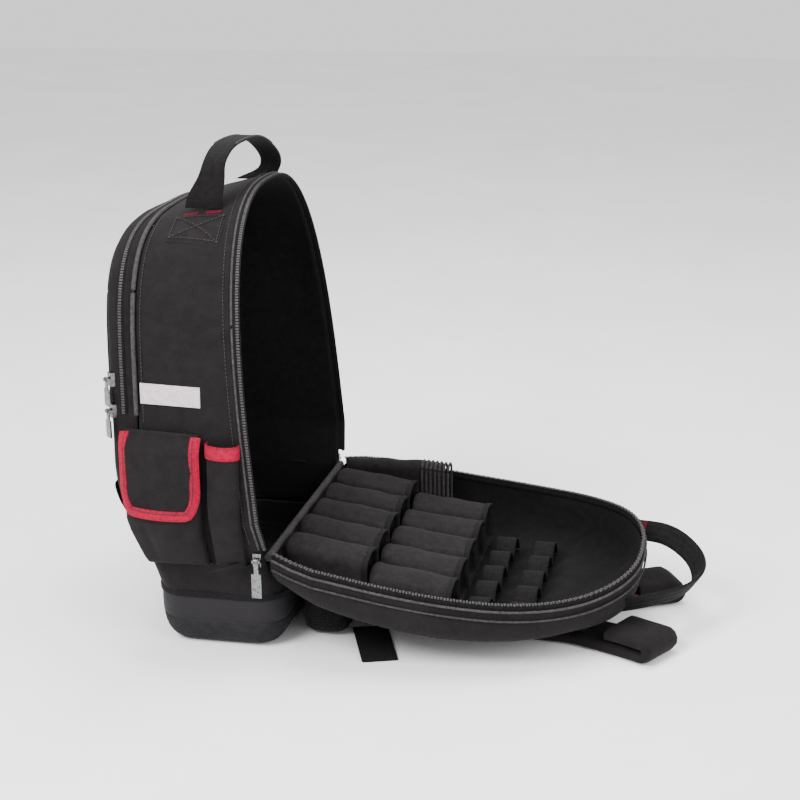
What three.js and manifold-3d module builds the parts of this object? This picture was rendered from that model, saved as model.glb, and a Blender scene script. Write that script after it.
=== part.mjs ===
// An open tool backpack: a hollow fabric body on a moulded tub, its back panel unzipped and folded down as
// a lid that lies on its padding, with tool sleeves and elastic rows on the inside of the lid.
// Millimetres. X runs from the front pockets to the end of the lid, Y across the width, Z up.
// The origin is the middle of the tub's flat underside.
import * as THREE from 'three';
import { mergeVertices } from 'three/addons/utils/BufferGeometryUtils.js';
import Module from 'manifold-3d';

const wasm = await Module();
wasm.setup();

// Clearance between pieces that touch
const GAP = 0.3;

// Moulded tub
const TUB_HEIGHT = 62;
const TUB_DEPTH = 146;
const TUB_HALF_WIDTH = 158;
const TUB_CORNER = 34;
const TUB_WALL = 4;
const TUB_FLOOR = 7;
const TUB_FOOT_INSET = 22;

// Fabric body
const BODY_WALL = 3;
const FRONT_X = -76;
const HINGE_X = 57;
const OPENING_LEAN = 0.095;
const HINGE_Z = 111;
const HINGE_HALF_WIDTH = 168;
const FULL_Z = 160;
const FRONT_HALF_WIDTH = 178;
const OPENING_HALF_WIDTH = 191;
const FRONT_SHOULDER_Z = 300;
const OPENING_SHOULDER_Z = 190;
const FRONT_CREST_Z = 472;
const OPENING_CREST_Z = 500;
const FRONT_SQUARENESS = 3.6;
const OPENING_SQUARENESS = 2.62;
const FRONT_CORNER = 10;
const PIPING_DIAMETER = 5;

// Front compartment
const COMPARTMENT_DEPTH = 36;
const COMPARTMENT_BOTTOM_Z = 108;
const COMPARTMENT_RISE = 78;
const COMPARTMENT_INSET = 32;
const COMPARTMENT_WALL = 3;
const FRONT_ZIP_WIDTH = 9;

// Side pockets
const POCKET_WALL = 2.5;
const POCKET_BOTTOM_Z = 104;
const FLAP_POCKET_X = [-88, -4];
const FLAP_POCKET_TOP_Z = 240;
const FLAP_POCKET_DEPTH = 26;
const FLAP_POCKET_TAPER = 20;
const FLAP_OVERHANG = 5;
const FLAP_RISE = 17;
const FLAP_DROP = 75;
const FLAP_CORNER = 0.34;
const FLAP_THICKNESS = 2.6;
const BINDING_WIDTH = 12;
const BINDING_THICKNESS = 3.6;
const SLOT_POCKET_X = [6, 40];
const SLOT_POCKET_TOP_Z = 233;
const SLOT_POCKET_DEPTH = 14;
const SLOT_BAND_HEIGHT = 16;
const FAR_POCKET_X = [-60, 34];
const INNER_POCKET_SIDE_MARGIN = 30;
const INNER_POCKET_Z = [130, 280];
const INNER_POCKET_DEPTH = 22;
const INNER_POCKET_COUNT = 3;

// Label
const LABEL_LENGTH = 68;
const LABEL_HEIGHT = 22;
const LABEL_X = -69;
const LABEL_Z = 286;
const LABEL_THICKNESS = 1.6;

// Webbing handle on the crest
const HANDLE_X = -1;
const HANDLE_SKEW = 6;
const HANDLE_WIDTH = 25;
const HANDLE_FOOT_X = -20;
const HANDLE_FOOT_WIDTH = 42;
const HANDLE_THICKNESS = 4;
const HANDLE_RISE = 47;
const HANDLE_TOP_Z = OPENING_CREST_Z + HANDLE_RISE;
const HANDLE_FOOT_Y = 92;
const TACK_LENGTH = 17;
const TACK_WIDTH = 5;
const TACK_THICKNESS = 1.6;
const TACK_SPREAD = 25;
const PATCH_LENGTH = 58;
const PATCH_HEIGHT = 34;
const PATCH_THICKNESS = 2;

// Zips
const ZIP_TAPE_WIDTH = 8;
const ZIP_TAPE_THICKNESS = 2.4;
const SLIDER_LENGTH = 15;
const SLIDER_WIDTH = 9;
const SLIDER_THICKNESS = 5;
const SLIDER_SINK = 2;
const BAIL_DIAMETER = 2;
const PULL_WIDTH = 11;
const PULL_THICKNESS = 1.8;
const PULL_EYE = 5;
const PULL_NECK = 0.34;
const CHEEK = 1.6;
const PIN_CLEARANCE = 0.4;
const MAIN_PULL_LENGTH = 42;
const FRONT_PULL_LENGTH = 29;
const FRONT_PULL_Z = [308, 273];
const FRONT_PULL_TURN = 45;

// Lid
const LID_X = 65;
const LID_LENGTH = 388;
const LID_HALF_WIDTH = 192;
const LID_SHOULDER = 52;
const LID_SQUARENESS = 2.3;
const LID_WALL = 4;
const LID_TWIST = 0.15;
const LID_RIM_HEIGHT = 112;
const LID_EDGE_ROUND = 30;

// Tool sleeves and elastic rows on the lid
const SLEEVES_START = 9;
const SLEEVE_TIER_LENGTH = 92;
const SLEEVE_TIER_STEP = 14;
const SLEEVE_COUNT = 5;
const SLEEVE_WALL = 3;
const SLEEVE_RISE = 13;
const FAR_SLEEVE_LENGTH = 120;
const FAR_SLEEVE_WIDTH = 22;
const FAR_SLEEVE_RISE = 14;
const ELASTIC_WIDTH = 24;
const ELASTIC_THICKNESS = 1.8;
const ELASTIC_LOOPS = 5;
const ELASTIC_RISE = 20;
const ELASTIC_START = 12;
const ELASTIC_HALF_WIDTH = 118;
const ELASTIC_PITCH = 46;

// Lid handle
const LID_HANDLE_WIDTH = 25;
const LID_HANDLE_REACH = 56;
const LID_HANDLE_HALF_SPAN = 90;
const LID_TACK_SHARE = 0.07;

// Padding and shoulder straps under the lid
const LUMBAR_HALF_WIDTH = 115;
const BACK_PAD_Y = [14, 80];
const STRAP_WIDTH = 60;
const STRAP_THICKNESS = 14;
const WEBBING_WIDTH = 40;
const WEBBING_THICKNESS = 2.2;
const BUCKLE_LENGTH = 34;
const BUCKLE_THICKNESS = 7;
const BUCKLE_BAR = 3;
const STRAP_Y = 45;
const STRAP_SPLAY = 43;
const STRAP_RETURN = 46;

const FABRIC = { color: 0x2b2829, roughness: 0.85, metalness: 0 };
const LINING = { color: 0x1b191a, roughness: 0.9, metalness: 0 };
const WEBBING = { color: 0x201e1f, roughness: 0.8, metalness: 0 };
const PLASTIC = { color: 0x3a363b, roughness: 0.7, metalness: 0 };
const RED = { color: 0xc8284f, roughness: 0.8, metalness: 0 };
const DARK_RED = { color: 0x8a1f3a, roughness: 0.8, metalness: 0 };
const TAPE = { color: 0x6e6a6c, roughness: 0.8, metalness: 0 };
const METAL = { color: 0xc4c4c6, roughness: 0.3, metalness: 1 };
const REFLECTIVE = { color: 0xd8cfd2, roughness: 0.5, metalness: 0 };

const backpack = new THREE.Group();
const { lerp, clamp } = THREE.MathUtils;
const v3 = (x, y, z) => new THREE.Vector3(x, y, z);
const NEAR = -1;
const FAR = 1;

// Geometry helpers

function indexed(points, index) {
  const geometry = new THREE.BufferGeometry();
  const flat = points.flatMap((p) => [p.x, p.y, p.z]);
  geometry.setAttribute('position', new THREE.Float32BufferAttribute(flat, 3));
  let volume = 0;
  for (let i = 0; i < index.length; i += 3) {
    const [a, b, c] = [points[index[i]], points[index[i + 1]], points[index[i + 2]]];
    volume += a.dot(v3(0, 0, 0).crossVectors(b, c));
  }
  geometry.setIndex(volume < 0 ? index.slice().reverse() : index);
  return geometry;
}

// A closed solid through rings of equally many points. Each end is closed in strips from one half of its
// ring to the other, so a ring's first and last points, second and last but one, and so on, face each other.
function loft(rings) {
  const count = rings[0].length;
  const index = [];
  for (let r = 0; r + 1 < rings.length; r++) {
    for (let i = 0; i < count; i++) {
      const [a, b] = [r * count + i, r * count + ((i + 1) % count)];
      index.push(a, b, b + count, a, b + count, a + count);
    }
  }
  const last = (rings.length - 1) * count;
  for (let i = 0; i + 1 < count / 2; i++) {
    const [a, b, c, d] = [i, i + 1, count - 2 - i, count - 1 - i];
    index.push(a, c, b, a, d, c);
    index.push(last + a, last + b, last + c, last + a, last + c, last + d);
  }
  return indexed(rings.flat(), index);
}

function solid(geometry) {
  const bare = geometry.clone();
  bare.deleteAttribute('normal');
  bare.deleteAttribute('uv');
  const merged = mergeVertices(bare, 1e-4);
  const vertProperties = new Float32Array(merged.attributes.position.array);
  const triVerts = new Uint32Array(merged.index.array);
  return new wasm.Manifold(new wasm.Mesh({ numProp: 3, vertProperties, triVerts }));
}

function geometryOf(manifold) {
  const mesh = manifold.getMesh();
  const geometry = new THREE.BufferGeometry();
  geometry.setAttribute('position', new THREE.Float32BufferAttribute(mesh.vertProperties, 3));
  geometry.setIndex(Array.from(mesh.triVerts));
  return geometry;
}

function add(name, shape, material) {
  const geometry = shape.isBufferGeometry ? shape : geometryOf(shape);
  const mesh = new THREE.Mesh(geometry, new THREE.MeshStandardMaterial(material));
  mesh.name = name;
  backpack.add(mesh);
  return mesh;
}

function box(x0, x1, y0, y1, z0, z1) {
  const geometry = new THREE.BoxGeometry(x1 - x0, y1 - y0, z1 - z0);
  return geometry.translate((x0 + x1) / 2, (y0 + y1) / 2, (z0 + z1) / 2);
}

// A flat strap along stations, each with its centre, the unit vector across the strap, and its width
function strap(stations, thickness) {
  const rings = stations.map(({ at, across, width }, i) => {
    const before = stations[Math.max(i - 1, 0)].at;
    const after = stations[Math.min(i + 1, stations.length - 1)].at;
    const normal = after.clone().sub(before).cross(across).normalize();
    const corner = (w, t) =>
      at.clone().addScaledVector(across, w * width).addScaledVector(normal, t * thickness);
    return [corner(-0.5, -0.5), corner(-0.5, 0.5), corner(0.5, 0.5), corner(0.5, -0.5)];
  });
  return loft(rings);
}

// A round cord of short straight lengths along points
function roundBead(points, diameter, sides = 5) {
  const curve = new THREE.CatmullRomCurve3(points);
  const section = new THREE.Shape();
  for (let i = 0; i < sides; i++) {
    const angle = (2 * Math.PI * i) / sides;
    const [x, y] = [(diameter / 2) * Math.cos(angle), (diameter / 2) * Math.sin(angle)];
    if (i === 0) section.moveTo(x, y);
    else section.lineTo(x, y);
  }
  section.closePath();
  return new THREE.ExtrudeGeometry(section, { steps: points.length, extrudePath: curve });
}

// The height profile at share t of equal steps, smooth between them
function profile(heights, t) {
  const at = clamp(t, 0, 1) * (heights.length - 1);
  const low = Math.min(Math.floor(at), heights.length - 2);
  const f = at - low;
  const before = heights[Math.max(low - 1, 0)];
  const after = heights[Math.min(low + 2, heights.length - 1)];
  const [a, b] = [heights[low], heights[low + 1]];
  const slopeA = (b - before) / 2;
  const slopeB = (after - a) / 2;
  const [f2, f3] = [f * f, f * f * f];
  return a * (2 * f3 - 3 * f2 + 1) + slopeA * (f3 - 2 * f2 + f) + b * (3 * f2 - 2 * f3) + slopeB * (f3 - f2);
}

// Body surface. s runs from 0 at the front wall to 1 at the opening, and the half outline at s climbs from
// the tub to the crest of the arch.

const LOWER_STEPS = [0, 0.5, 1];
const BULGE_STEPS = [0.5, 1];
const ARCH_STEPS = 8;
const CREST_ANGLE = 0.985 * (Math.PI / 2);
const DEPTH_SHARES = [0, 0.02, 0.08, 0.18, 0.5, 0.82, 0.94, 1];

function frontX(z) {
  return z < HINGE_Z ? lerp(-TUB_DEPTH / 2, FRONT_X, (z - TUB_HEIGHT) / (HINGE_Z - TUB_HEIGHT)) : FRONT_X;
}

function openingX(z) {
  if (z < HINGE_Z) return lerp(TUB_DEPTH / 2, HINGE_X, (z - TUB_HEIGHT) / (HINGE_Z - TUB_HEIGHT));
  return HINGE_X - OPENING_LEAN * (z - HINGE_Z);
}

function lowerHalfWidth(z, s) {
  const bulge = lerp(FRONT_HALF_WIDTH, OPENING_HALF_WIDTH, s);
  if (z < HINGE_Z) return lerp(TUB_HALF_WIDTH, HINGE_HALF_WIDTH, (z - TUB_HEIGHT) / (HINGE_Z - TUB_HEIGHT));
  if (z < FULL_Z) return lerp(HINGE_HALF_WIDTH, bulge, (z - HINGE_Z) / (FULL_Z - HINGE_Z));
  return bulge;
}

function halfOutline(s, bottomZ, lowHeights) {
  const bulge = lerp(FRONT_HALF_WIDTH, OPENING_HALF_WIDTH, s);
  const shoulder = lerp(FRONT_SHOULDER_Z, OPENING_SHOULDER_Z, s);
  const crest = lerp(FRONT_CREST_Z, OPENING_CREST_Z, s);
  const power = 2 / lerp(FRONT_SQUARENESS, OPENING_SQUARENESS, s);
  const outline = lowHeights.map((z) => [lowerHalfWidth(z, s), z]);
  for (let k = 0; k <= ARCH_STEPS; k++) {
    const angle = (CREST_ANGLE * k) / ARCH_STEPS;
    const height = shoulder + (crest - shoulder) * Math.sin(angle) ** power;
    outline.push([bulge * Math.cos(angle) ** power, height]);
  }
  return outline.filter(([, z], i) => i === 0 || z > bottomZ);
}

// The outline moved inwards by a distance that may differ from point to point
function insetOutline(outline, distance) {
  return outline.map(([y, z], i) => {
    const [y0, z0] = outline[Math.max(i - 1, 0)];
    const [y1, z1] = i + 1 < outline.length ? outline[i + 1] : [-outline[i][0], z];
    const length = Math.hypot(y1 - y0, z1 - z0);
    const d = distance(z, i);
    return [y - (d * (z1 - z0)) / length, z + (d * (y1 - y0)) / length];
  });
}

function roundInset(distance, radius) {
  if (distance >= radius || radius <= 0) return 0;
  return radius - Math.sqrt(radius * radius - (radius - distance) ** 2);
}

function bothHalves(half, x) {
  const near = half.map(([y, z]) => v3(x(z), -y, z));
  const far = half.map(([y, z]) => v3(x(z), y, z)).reverse();
  return [...near, ...far];
}

const bodyHeights = (bottom) => [
  ...LOWER_STEPS.map((f) => lerp(bottom, HINGE_Z, f)),
  ...BULGE_STEPS.map((f) => lerp(HINGE_Z, FULL_Z, f)),
];

// The body's outer form, moved inwards by inset; back stretches it past the opening
function bodyForm(inset, bottom, back = 0) {
  const rings = DEPTH_SHARES.map((s) => {
    const outline = halfOutline(s, bottom, bodyHeights(bottom));
    const front = (z) => frontX(z) + inset;
    const rear = (z) => openingX(z) - inset + back;
    const x = (z) => lerp(front(z), rear(z), s);
    const low = (z) => clamp((HINGE_Z - z) / (HINGE_Z - TUB_HEIGHT), 0, 1);
    const distance = (z) => {
      const frontRound = roundInset(x(z) - front(z), lerp(FRONT_CORNER, TUB_CORNER, low(z)));
      const rearRound = roundInset(rear(z) - x(z), lerp(0, TUB_CORNER, low(z)));
      return inset + Math.max(frontRound, rearRound);
    };
    return bothHalves(insetOutline(outline, distance), x);
  });
  return loft(rings);
}

// The side wall's half width where a pocket or label lies on it
function wallHalfWidth(x, z) {
  const s = clamp((x - frontX(z)) / (openingX(z) - frontX(z)), 0, 1);
  const outline = halfOutline(s, 0, bodyHeights(TUB_HEIGHT));
  for (let i = 0; i + 1 < outline.length; i++) {
    const [[y0, z0], [y1, z1]] = [outline[i], outline[i + 1]];
    if (z <= z1) return lerp(y0, y1, (z - z0) / (z1 - z0));
  }
  return 0;
}

// Height of the crest surface over a point
function crestZ(x, y) {
  let [low, high] = [FULL_Z, OPENING_CREST_Z];
  for (let i = 0; i < 24; i++) {
    const z = (low + high) / 2;
    if (wallHalfWidth(x, z) > Math.abs(y)) low = z;
    else high = z;
  }
  return low;
}

// Tub

const tubRing = (z, inset, cut) => {
  const corner = TUB_CORNER - cut;
  const halfX = TUB_DEPTH / 2 - inset - cut;
  const halfY = TUB_HALF_WIDTH - inset - cut;
  const quarter = [];
  for (let k = 0; k <= 5; k++) {
    const angle = (Math.PI / 2) * (k / 5);
    quarter.push([halfX - corner * (1 - Math.cos(angle)), halfY - corner * (1 - Math.sin(angle))]);
  }
  const front = quarter.map(([x, y]) => v3(-x, -y, z)).reverse();
  const near = [...quarter.map(([x, y]) => v3(x, -y, z)), ...front];
  const far = near.map((p) => v3(p.x, -p.y, p.z)).reverse();
  return [...near, ...far];
};
const TUB_ROUND = [
  { height: 0, inset: 1 },
  { height: 0.05, inset: 0.66 },
  { height: 0.15, inset: 0.36 },
  { height: 0.3, inset: 0.15 },
  { height: 0.5, inset: 0.04 },
  { height: 1, inset: 0 },
];
const tubForm = (cut, bottom, top) => {
  const share = (z) => clamp(z / TUB_HEIGHT, 0, 1);
  const insets = (z) => {
    const i = Math.max(TUB_ROUND.findIndex(({ height }) => height >= share(z)), 1);
    const [low, high] = [TUB_ROUND[i - 1], TUB_ROUND[i]];
    return TUB_FOOT_INSET * lerp(low.inset, high.inset, (share(z) - low.height) / (high.height - low.height));
  };
  const heights = TUB_ROUND.map(({ height }) => lerp(bottom, top, height));
  return loft(heights.map((z) => tubRing(z, insets(z), cut)));
};
const tubTop = TUB_HEIGHT - GAP / 2;
const tubHollow = solid(tubForm(TUB_WALL, TUB_FLOOR, TUB_HEIGHT + TUB_WALL));
add('base_tub', solid(tubForm(0, 0, tubTop)).subtract(tubHollow), PLASTIC);

// Body shell: open at the bottom over the tub and at the back above the hinge line

const bodyBottom = TUB_HEIGHT + GAP / 2;
const bodyOuter = solid(bodyForm(0, bodyBottom));
const bodyGrown = solid(bodyForm(-GAP, bodyBottom - GAP));
const upperCavity = solid(bodyForm(BODY_WALL, bodyBottom - BODY_WALL, 3 * ZIP_TAPE_WIDTH));
const everywhere = 2 * OPENING_CREST_Z;
const aboveHinge = solid(box(-everywhere, everywhere, -everywhere, everywhere, HINGE_Z, everywhere));
const lowerCavity = solid(bodyForm(BODY_WALL, bodyBottom - BODY_WALL));
const bodyCavity = upperCavity.intersect(aboveHinge).add(lowerCavity);
add('body_shell', bodyOuter.subtract(bodyCavity), FABRIC);

// Front compartment: a shallow shell open against the front wall

const COMPARTMENT_SECTIONS = [
  { depth: 0, inset: 0.155, rise: 0 },
  { depth: 0.25, inset: 0.14, rise: 0.2 },
  { depth: 0.55, inset: 0.155, rise: 0.52 },
  { depth: 0.78, inset: 0.25, rise: 0.72 },
  { depth: 0.92, inset: 0.53, rise: 0.88 },
  { depth: 1, inset: 1, rise: 1 },
];
const COMPARTMENT_FOOT_INSET = 0.44;
function compartmentForm(cut, start) {
  const rings = COMPARTMENT_SECTIONS.map(({ depth, inset, rise }, i) => {
    const bottom = COMPARTMENT_BOTTOM_Z + COMPARTMENT_RISE * rise + cut;
    const heights = [0, 0.15, 0.4, 0.7].map((f) => lerp(bottom, FRONT_SHOULDER_Z, f));
    const footInset = (k) => (k === 0 ? COMPARTMENT_FOOT_INSET * COMPARTMENT_INSET : 0);
    const insetAt = (z, k) => COMPARTMENT_INSET * inset + cut + footInset(k);
    const outline = insetOutline(halfOutline(0, 0, heights), insetAt);
    outline[0][1] = bottom;
    const x = FRONT_X - (i === 0 ? start : COMPARTMENT_DEPTH * depth - cut);
    return bothHalves(outline, () => x);
  });
  return loft(rings);
}
const compartmentOuter = solid(compartmentForm(0, GAP));
const compartmentGrown = solid(compartmentForm(-GAP, 0));
const compartmentHollow = solid(compartmentForm(COMPARTMENT_WALL, -COMPARTMENT_WALL));
add('front_compartment', compartmentOuter.subtract(compartmentHollow), FABRIC);

// Zip tape round the front compartment's side
function ringPath(inset, fromZ, s) {
  const heights = bodyHeights(TUB_HEIGHT).map((z) => Math.max(z, fromZ));
  return bothHalves(insetOutline(halfOutline(s, fromZ, heights), () => inset), () => 0);
}
function edgeBand(path, xAt, across, width, thickness) {
  return strap(path.map((p) => ({ at: v3(xAt(p.z), p.y, p.z), across, width })), thickness);
}
const alongX = v3(1, 0, 0);
const FRONT_ZIP_SHARE = 0.42;
const PIPING_SINK = 1.6;
const flapTopZ = FLAP_POCKET_TOP_Z + FLAP_RISE;
const frontZipX = FRONT_X - COMPARTMENT_DEPTH * FRONT_ZIP_SHARE;
const frontZipSink = COMPARTMENT_INSET * COMPARTMENT_SECTIONS[1].inset;
const frontZipPath = ringPath(frontZipSink, flapTopZ + GAP, 0);
const frontZip = solid(edgeBand(frontZipPath, () => frontZipX, alongX, FRONT_ZIP_WIDTH, ZIP_TAPE_THICKNESS));
add('front_zip_tape', frontZip.subtract(compartmentGrown), TAPE);

// Piping along the body's front edge
const pipingPath = ringPath(PIPING_SINK, flapTopZ + GAP, 0).map((p) => v3(FRONT_X + 1, p.y, p.z));
const piping = solid(roundBead(pipingPath, PIPING_DIAMETER)).subtract(bodyGrown);
add('front_piping', piping.subtract(compartmentGrown), TAPE);

// Side pockets. A slab lies over the side wall between two heights and two ends, and stands off the wall by
// outer(x, z); its back is inside the wall until the wall's own form is cut away.
function sideSlab(side, ends, [z0, z1], outer, { across = 8, up = 7, back = 6 } = {}) {
  const rings = [];
  for (let j = 0; j <= up; j++) {
    const z = lerp(z0, z1, j / up);
    const [x0, x1] = ends(z);
    const front = [];
    const rear = [];
    for (let i = 0; i <= across; i++) {
      const x = lerp(x0, x1, i / across);
      const wall = wallHalfWidth(x, z);
      front.push(v3(x, side * (wall + outer(x, z)), z));
      rear.unshift(v3(x, side * (wall - back), z));
    }
    rings.push([...front, ...rear]);
  }
  return solid(loft(rings));
}
const hump = (t) => Math.sin(Math.PI * clamp(t, 0, 1)) ** 0.6;
const fillet = (t) => Math.sqrt(clamp(t, 0, 1));

// A shape with the body's and the compartment's room cut away. Shavings between the two are dropped.
function seatOnBody(shape) {
  const pieces = shape.subtract(bodyGrown).subtract(compartmentGrown).decompose();
  return pieces.reduce((best, piece) => (piece.volume() > best.volume() ? piece : best));
}

function pocketDepth([x0, x1], topZ, depth) {
  return (x, z) => {
    const u = (x - x0) / (x1 - x0);
    const v = (z - POCKET_BOTTOM_Z) / (topZ - POCKET_BOTTOM_Z);
    return depth * (0.5 + 0.5 * hump(u)) * (0.35 + 0.65 * fillet(v / 0.3));
  };
}

// The pocket's front edge follows the body's lower taper
function taperedEnds([x0, x1], taper, margin = 0) {
  return (z) => {
    const t = clamp((FULL_Z - z) / (FULL_Z - POCKET_BOTTOM_Z), 0, 1);
    return [x0 + taper * t + margin, x1 - margin];
  };
}

function pocketShell(side, xs, topZ, depth, taper) {
  const outer = pocketDepth(xs, topZ, depth);
  const heights = [POCKET_BOTTOM_Z, topZ];
  const whole = sideSlab(side, taperedEnds(xs, taper), heights, outer);
  const room = [POCKET_BOTTOM_Z + POCKET_WALL, topZ + POCKET_WALL];
  const roomEnds = taperedEnds(xs, taper, POCKET_WALL);
  const inside = sideSlab(side, roomEnds, room, (x, z) => outer(x, z) - POCKET_WALL);
  return seatOnBody(whole.subtract(inside));
}

const flapPocket = pocketShell(NEAR, FLAP_POCKET_X, FLAP_POCKET_TOP_Z, FLAP_POCKET_DEPTH, FLAP_POCKET_TAPER);
add('flap_pocket', flapPocket, FABRIC);
add('slot_pocket', pocketShell(NEAR, SLOT_POCKET_X, SLOT_POCKET_TOP_Z, SLOT_POCKET_DEPTH, 0), FABRIC);
add('far_pocket', pocketShell(FAR, FAR_POCKET_X, SLOT_POCKET_TOP_Z, SLOT_POCKET_DEPTH, 0), FABRIC);

// Flap: it hangs from the wall over the pocket's mouth, U-shaped, with a red binding round its free edge
const flapX = [FLAP_POCKET_X[0] - FLAP_OVERHANG, FLAP_POCKET_X[1] + FLAP_OVERHANG];
const flapZ = [FLAP_POCKET_TOP_Z - FLAP_DROP, flapTopZ];
const flapCornerHeight = (flapZ[1] - flapZ[0]) * FLAP_CORNER;
const FLAP_FOOT = 0.56;
function flapEnds(margin) {
  const middle = (flapX[0] + flapX[1]) / 2;
  return (z) => {
    const rise = clamp((z - flapZ[0]) / flapCornerHeight, 0, 1);
    const round = Math.sqrt(1 - (1 - rise) ** 2);
    const half = ((flapX[1] - flapX[0]) / 2) * lerp(FLAP_FOOT, 1, round);
    return [middle - half + margin, middle + half - margin];
  };
}
const pocketOuter = pocketDepth(FLAP_POCKET_X, FLAP_POCKET_TOP_Z, FLAP_POCKET_DEPTH);
const flapStand = (x, z) => {
  const hang = clamp((flapTopZ - z) / FLAP_RISE, 0, 1);
  return pocketOuter(clamp(x, ...FLAP_POCKET_X), Math.min(z, FLAP_POCKET_TOP_Z)) * fillet(hang) + 2 * GAP;
};
const underMargin = 3 * FLAP_THICKNESS;
const underX = [flapX[0] - underMargin, flapX[1] + underMargin];
const underZ = [flapZ[0] - underMargin, flapZ[1] + underMargin];
const underFlap = sideSlab(NEAR, () => underX, underZ, flapStand, { up: 16, back: 2 * underMargin });
function flapSlab(margin, thickness) {
  const heights = [flapZ[0] + margin, flapZ[1]];
  const outer = (x, z) => flapStand(x, z) + thickness;
  return sideSlab(NEAR, flapEnds(margin), heights, outer, { up: 11 });
}
const pocketGrown = sideSlab(
  NEAR,
  taperedEnds(FLAP_POCKET_X, FLAP_POCKET_TAPER, -GAP),
  [POCKET_BOTTOM_Z - GAP, FLAP_POCKET_TOP_Z + GAP],
  (x, z) => pocketOuter(clamp(x, ...FLAP_POCKET_X), clamp(z, POCKET_BOTTOM_Z, FLAP_POCKET_TOP_Z)) + GAP,
);
const flapPanel = flapSlab(BINDING_WIDTH + GAP, FLAP_THICKNESS).subtract(underFlap);
const flapRoom = flapSlab(BINDING_WIDTH, 3 * BINDING_THICKNESS);
const bindingForm = flapSlab(0, BINDING_THICKNESS).subtract(underFlap).subtract(flapRoom);
const flapTopFloor = flapTopZ - BINDING_THICKNESS / 2;
const flapTop = solid(box(-everywhere, everywhere, -everywhere, 0, flapTopFloor, everywhere));
add('pocket_flap', seatOnBody(flapPanel).subtract(pocketGrown), FABRIC);
add('flap_binding', seatOnBody(bindingForm.subtract(flapTop)).subtract(pocketGrown), RED);

// Red bands at the mouths of the slot pocket and the far pocket
function mouthBand(side, xs) {
  const lift = pocketDepth(xs, SLOT_POCKET_TOP_Z, SLOT_POCKET_DEPTH);
  const stand = (x) => lift(x, SLOT_POCKET_TOP_Z) + GAP;
  const heights = [SLOT_POCKET_TOP_Z + GAP, SLOT_POCKET_TOP_Z + SLOT_BAND_HEIGHT];
  const whole = sideSlab(side, () => xs, heights, stand, { up: 3 });
  const room = [heights[0] - 1, heights[1] + 1];
  const roomX = [xs[0] + POCKET_WALL, xs[1] - POCKET_WALL];
  const inside = sideSlab(side, () => roomX, room, (x) => stand(x) - POCKET_WALL, { up: 3 });
  return seatOnBody(whole.subtract(inside));
}
add('slot_band', mouthBand(NEAR, SLOT_POCKET_X), RED);
add('far_band', mouthBand(FAR, FAR_POCKET_X), RED);

// Label: a bare plate
const labelEnds = () => [LABEL_X, LABEL_X + LABEL_LENGTH];
const labelZs = [LABEL_Z, LABEL_Z + LABEL_HEIGHT];
const label = sideSlab(NEAR, labelEnds, labelZs, () => LABEL_THICKNESS + GAP, { up: 3 });
add('label_plate', seatOnBody(label), REFLECTIVE);

// Top handle: webbing over the crest from side to side, wider at its sewn feet
const HANDLE_ROUTE = [
  { y: -1, rise: 0, foot: 1 },
  { y: -1.02, rise: 0.22, foot: 0.75 },
  { y: -1.01, rise: 0.5, foot: 0.25 },
  { y: -0.96, rise: 0.78, foot: 0 },
  { y: -0.68, rise: 0.96, foot: 0 },
  { y: -0.25, rise: 1, foot: 0 },
  { y: 0.2, rise: 0.94, foot: 0 },
  { y: 0.6, rise: 0.74, foot: 0 },
  { y: 0.9, rise: 0.45, foot: 0.15 },
  { y: 1.01, rise: 0.2, foot: 0.65 },
  { y: 1, rise: 0, foot: 1 },
];
const HANDLE_STEPS = 30;
const footSurface = crestZ(HANDLE_FOOT_X, HANDLE_FOOT_Y) + HANDLE_THICKNESS * 0.75;
const handleRise = HANDLE_TOP_Z - HANDLE_THICKNESS / 2 - footSurface;
const handlePoints = HANDLE_ROUTE.map(({ y, rise, foot }) => {
  const x = lerp(HANDLE_X + y * HANDLE_SKEW, HANDLE_FOOT_X, foot);
  return v3(x, y * HANDLE_FOOT_Y, footSurface + rise * handleRise);
});
const handleCurve = new THREE.CatmullRomCurve3(handlePoints);
const handleBand = Array.from({ length: HANDLE_STEPS + 1 }, (_, i) => {
  const row = (i / HANDLE_STEPS) * (HANDLE_ROUTE.length - 1);
  const next = HANDLE_ROUTE[Math.min(Math.floor(row) + 1, HANDLE_ROUTE.length - 1)];
  const foot = lerp(HANDLE_ROUTE[Math.floor(row)].foot, next.foot, row % 1);
  const width = lerp(HANDLE_WIDTH, HANDLE_FOOT_WIDTH, foot);
  return { at: handleCurve.getPoint(i / HANDLE_STEPS), across: alongX, width };
});
const topHandle = solid(strap(handleBand, HANDLE_THICKNESS)).subtract(bodyGrown);
add('top_handle', topHandle, WEBBING);

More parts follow.
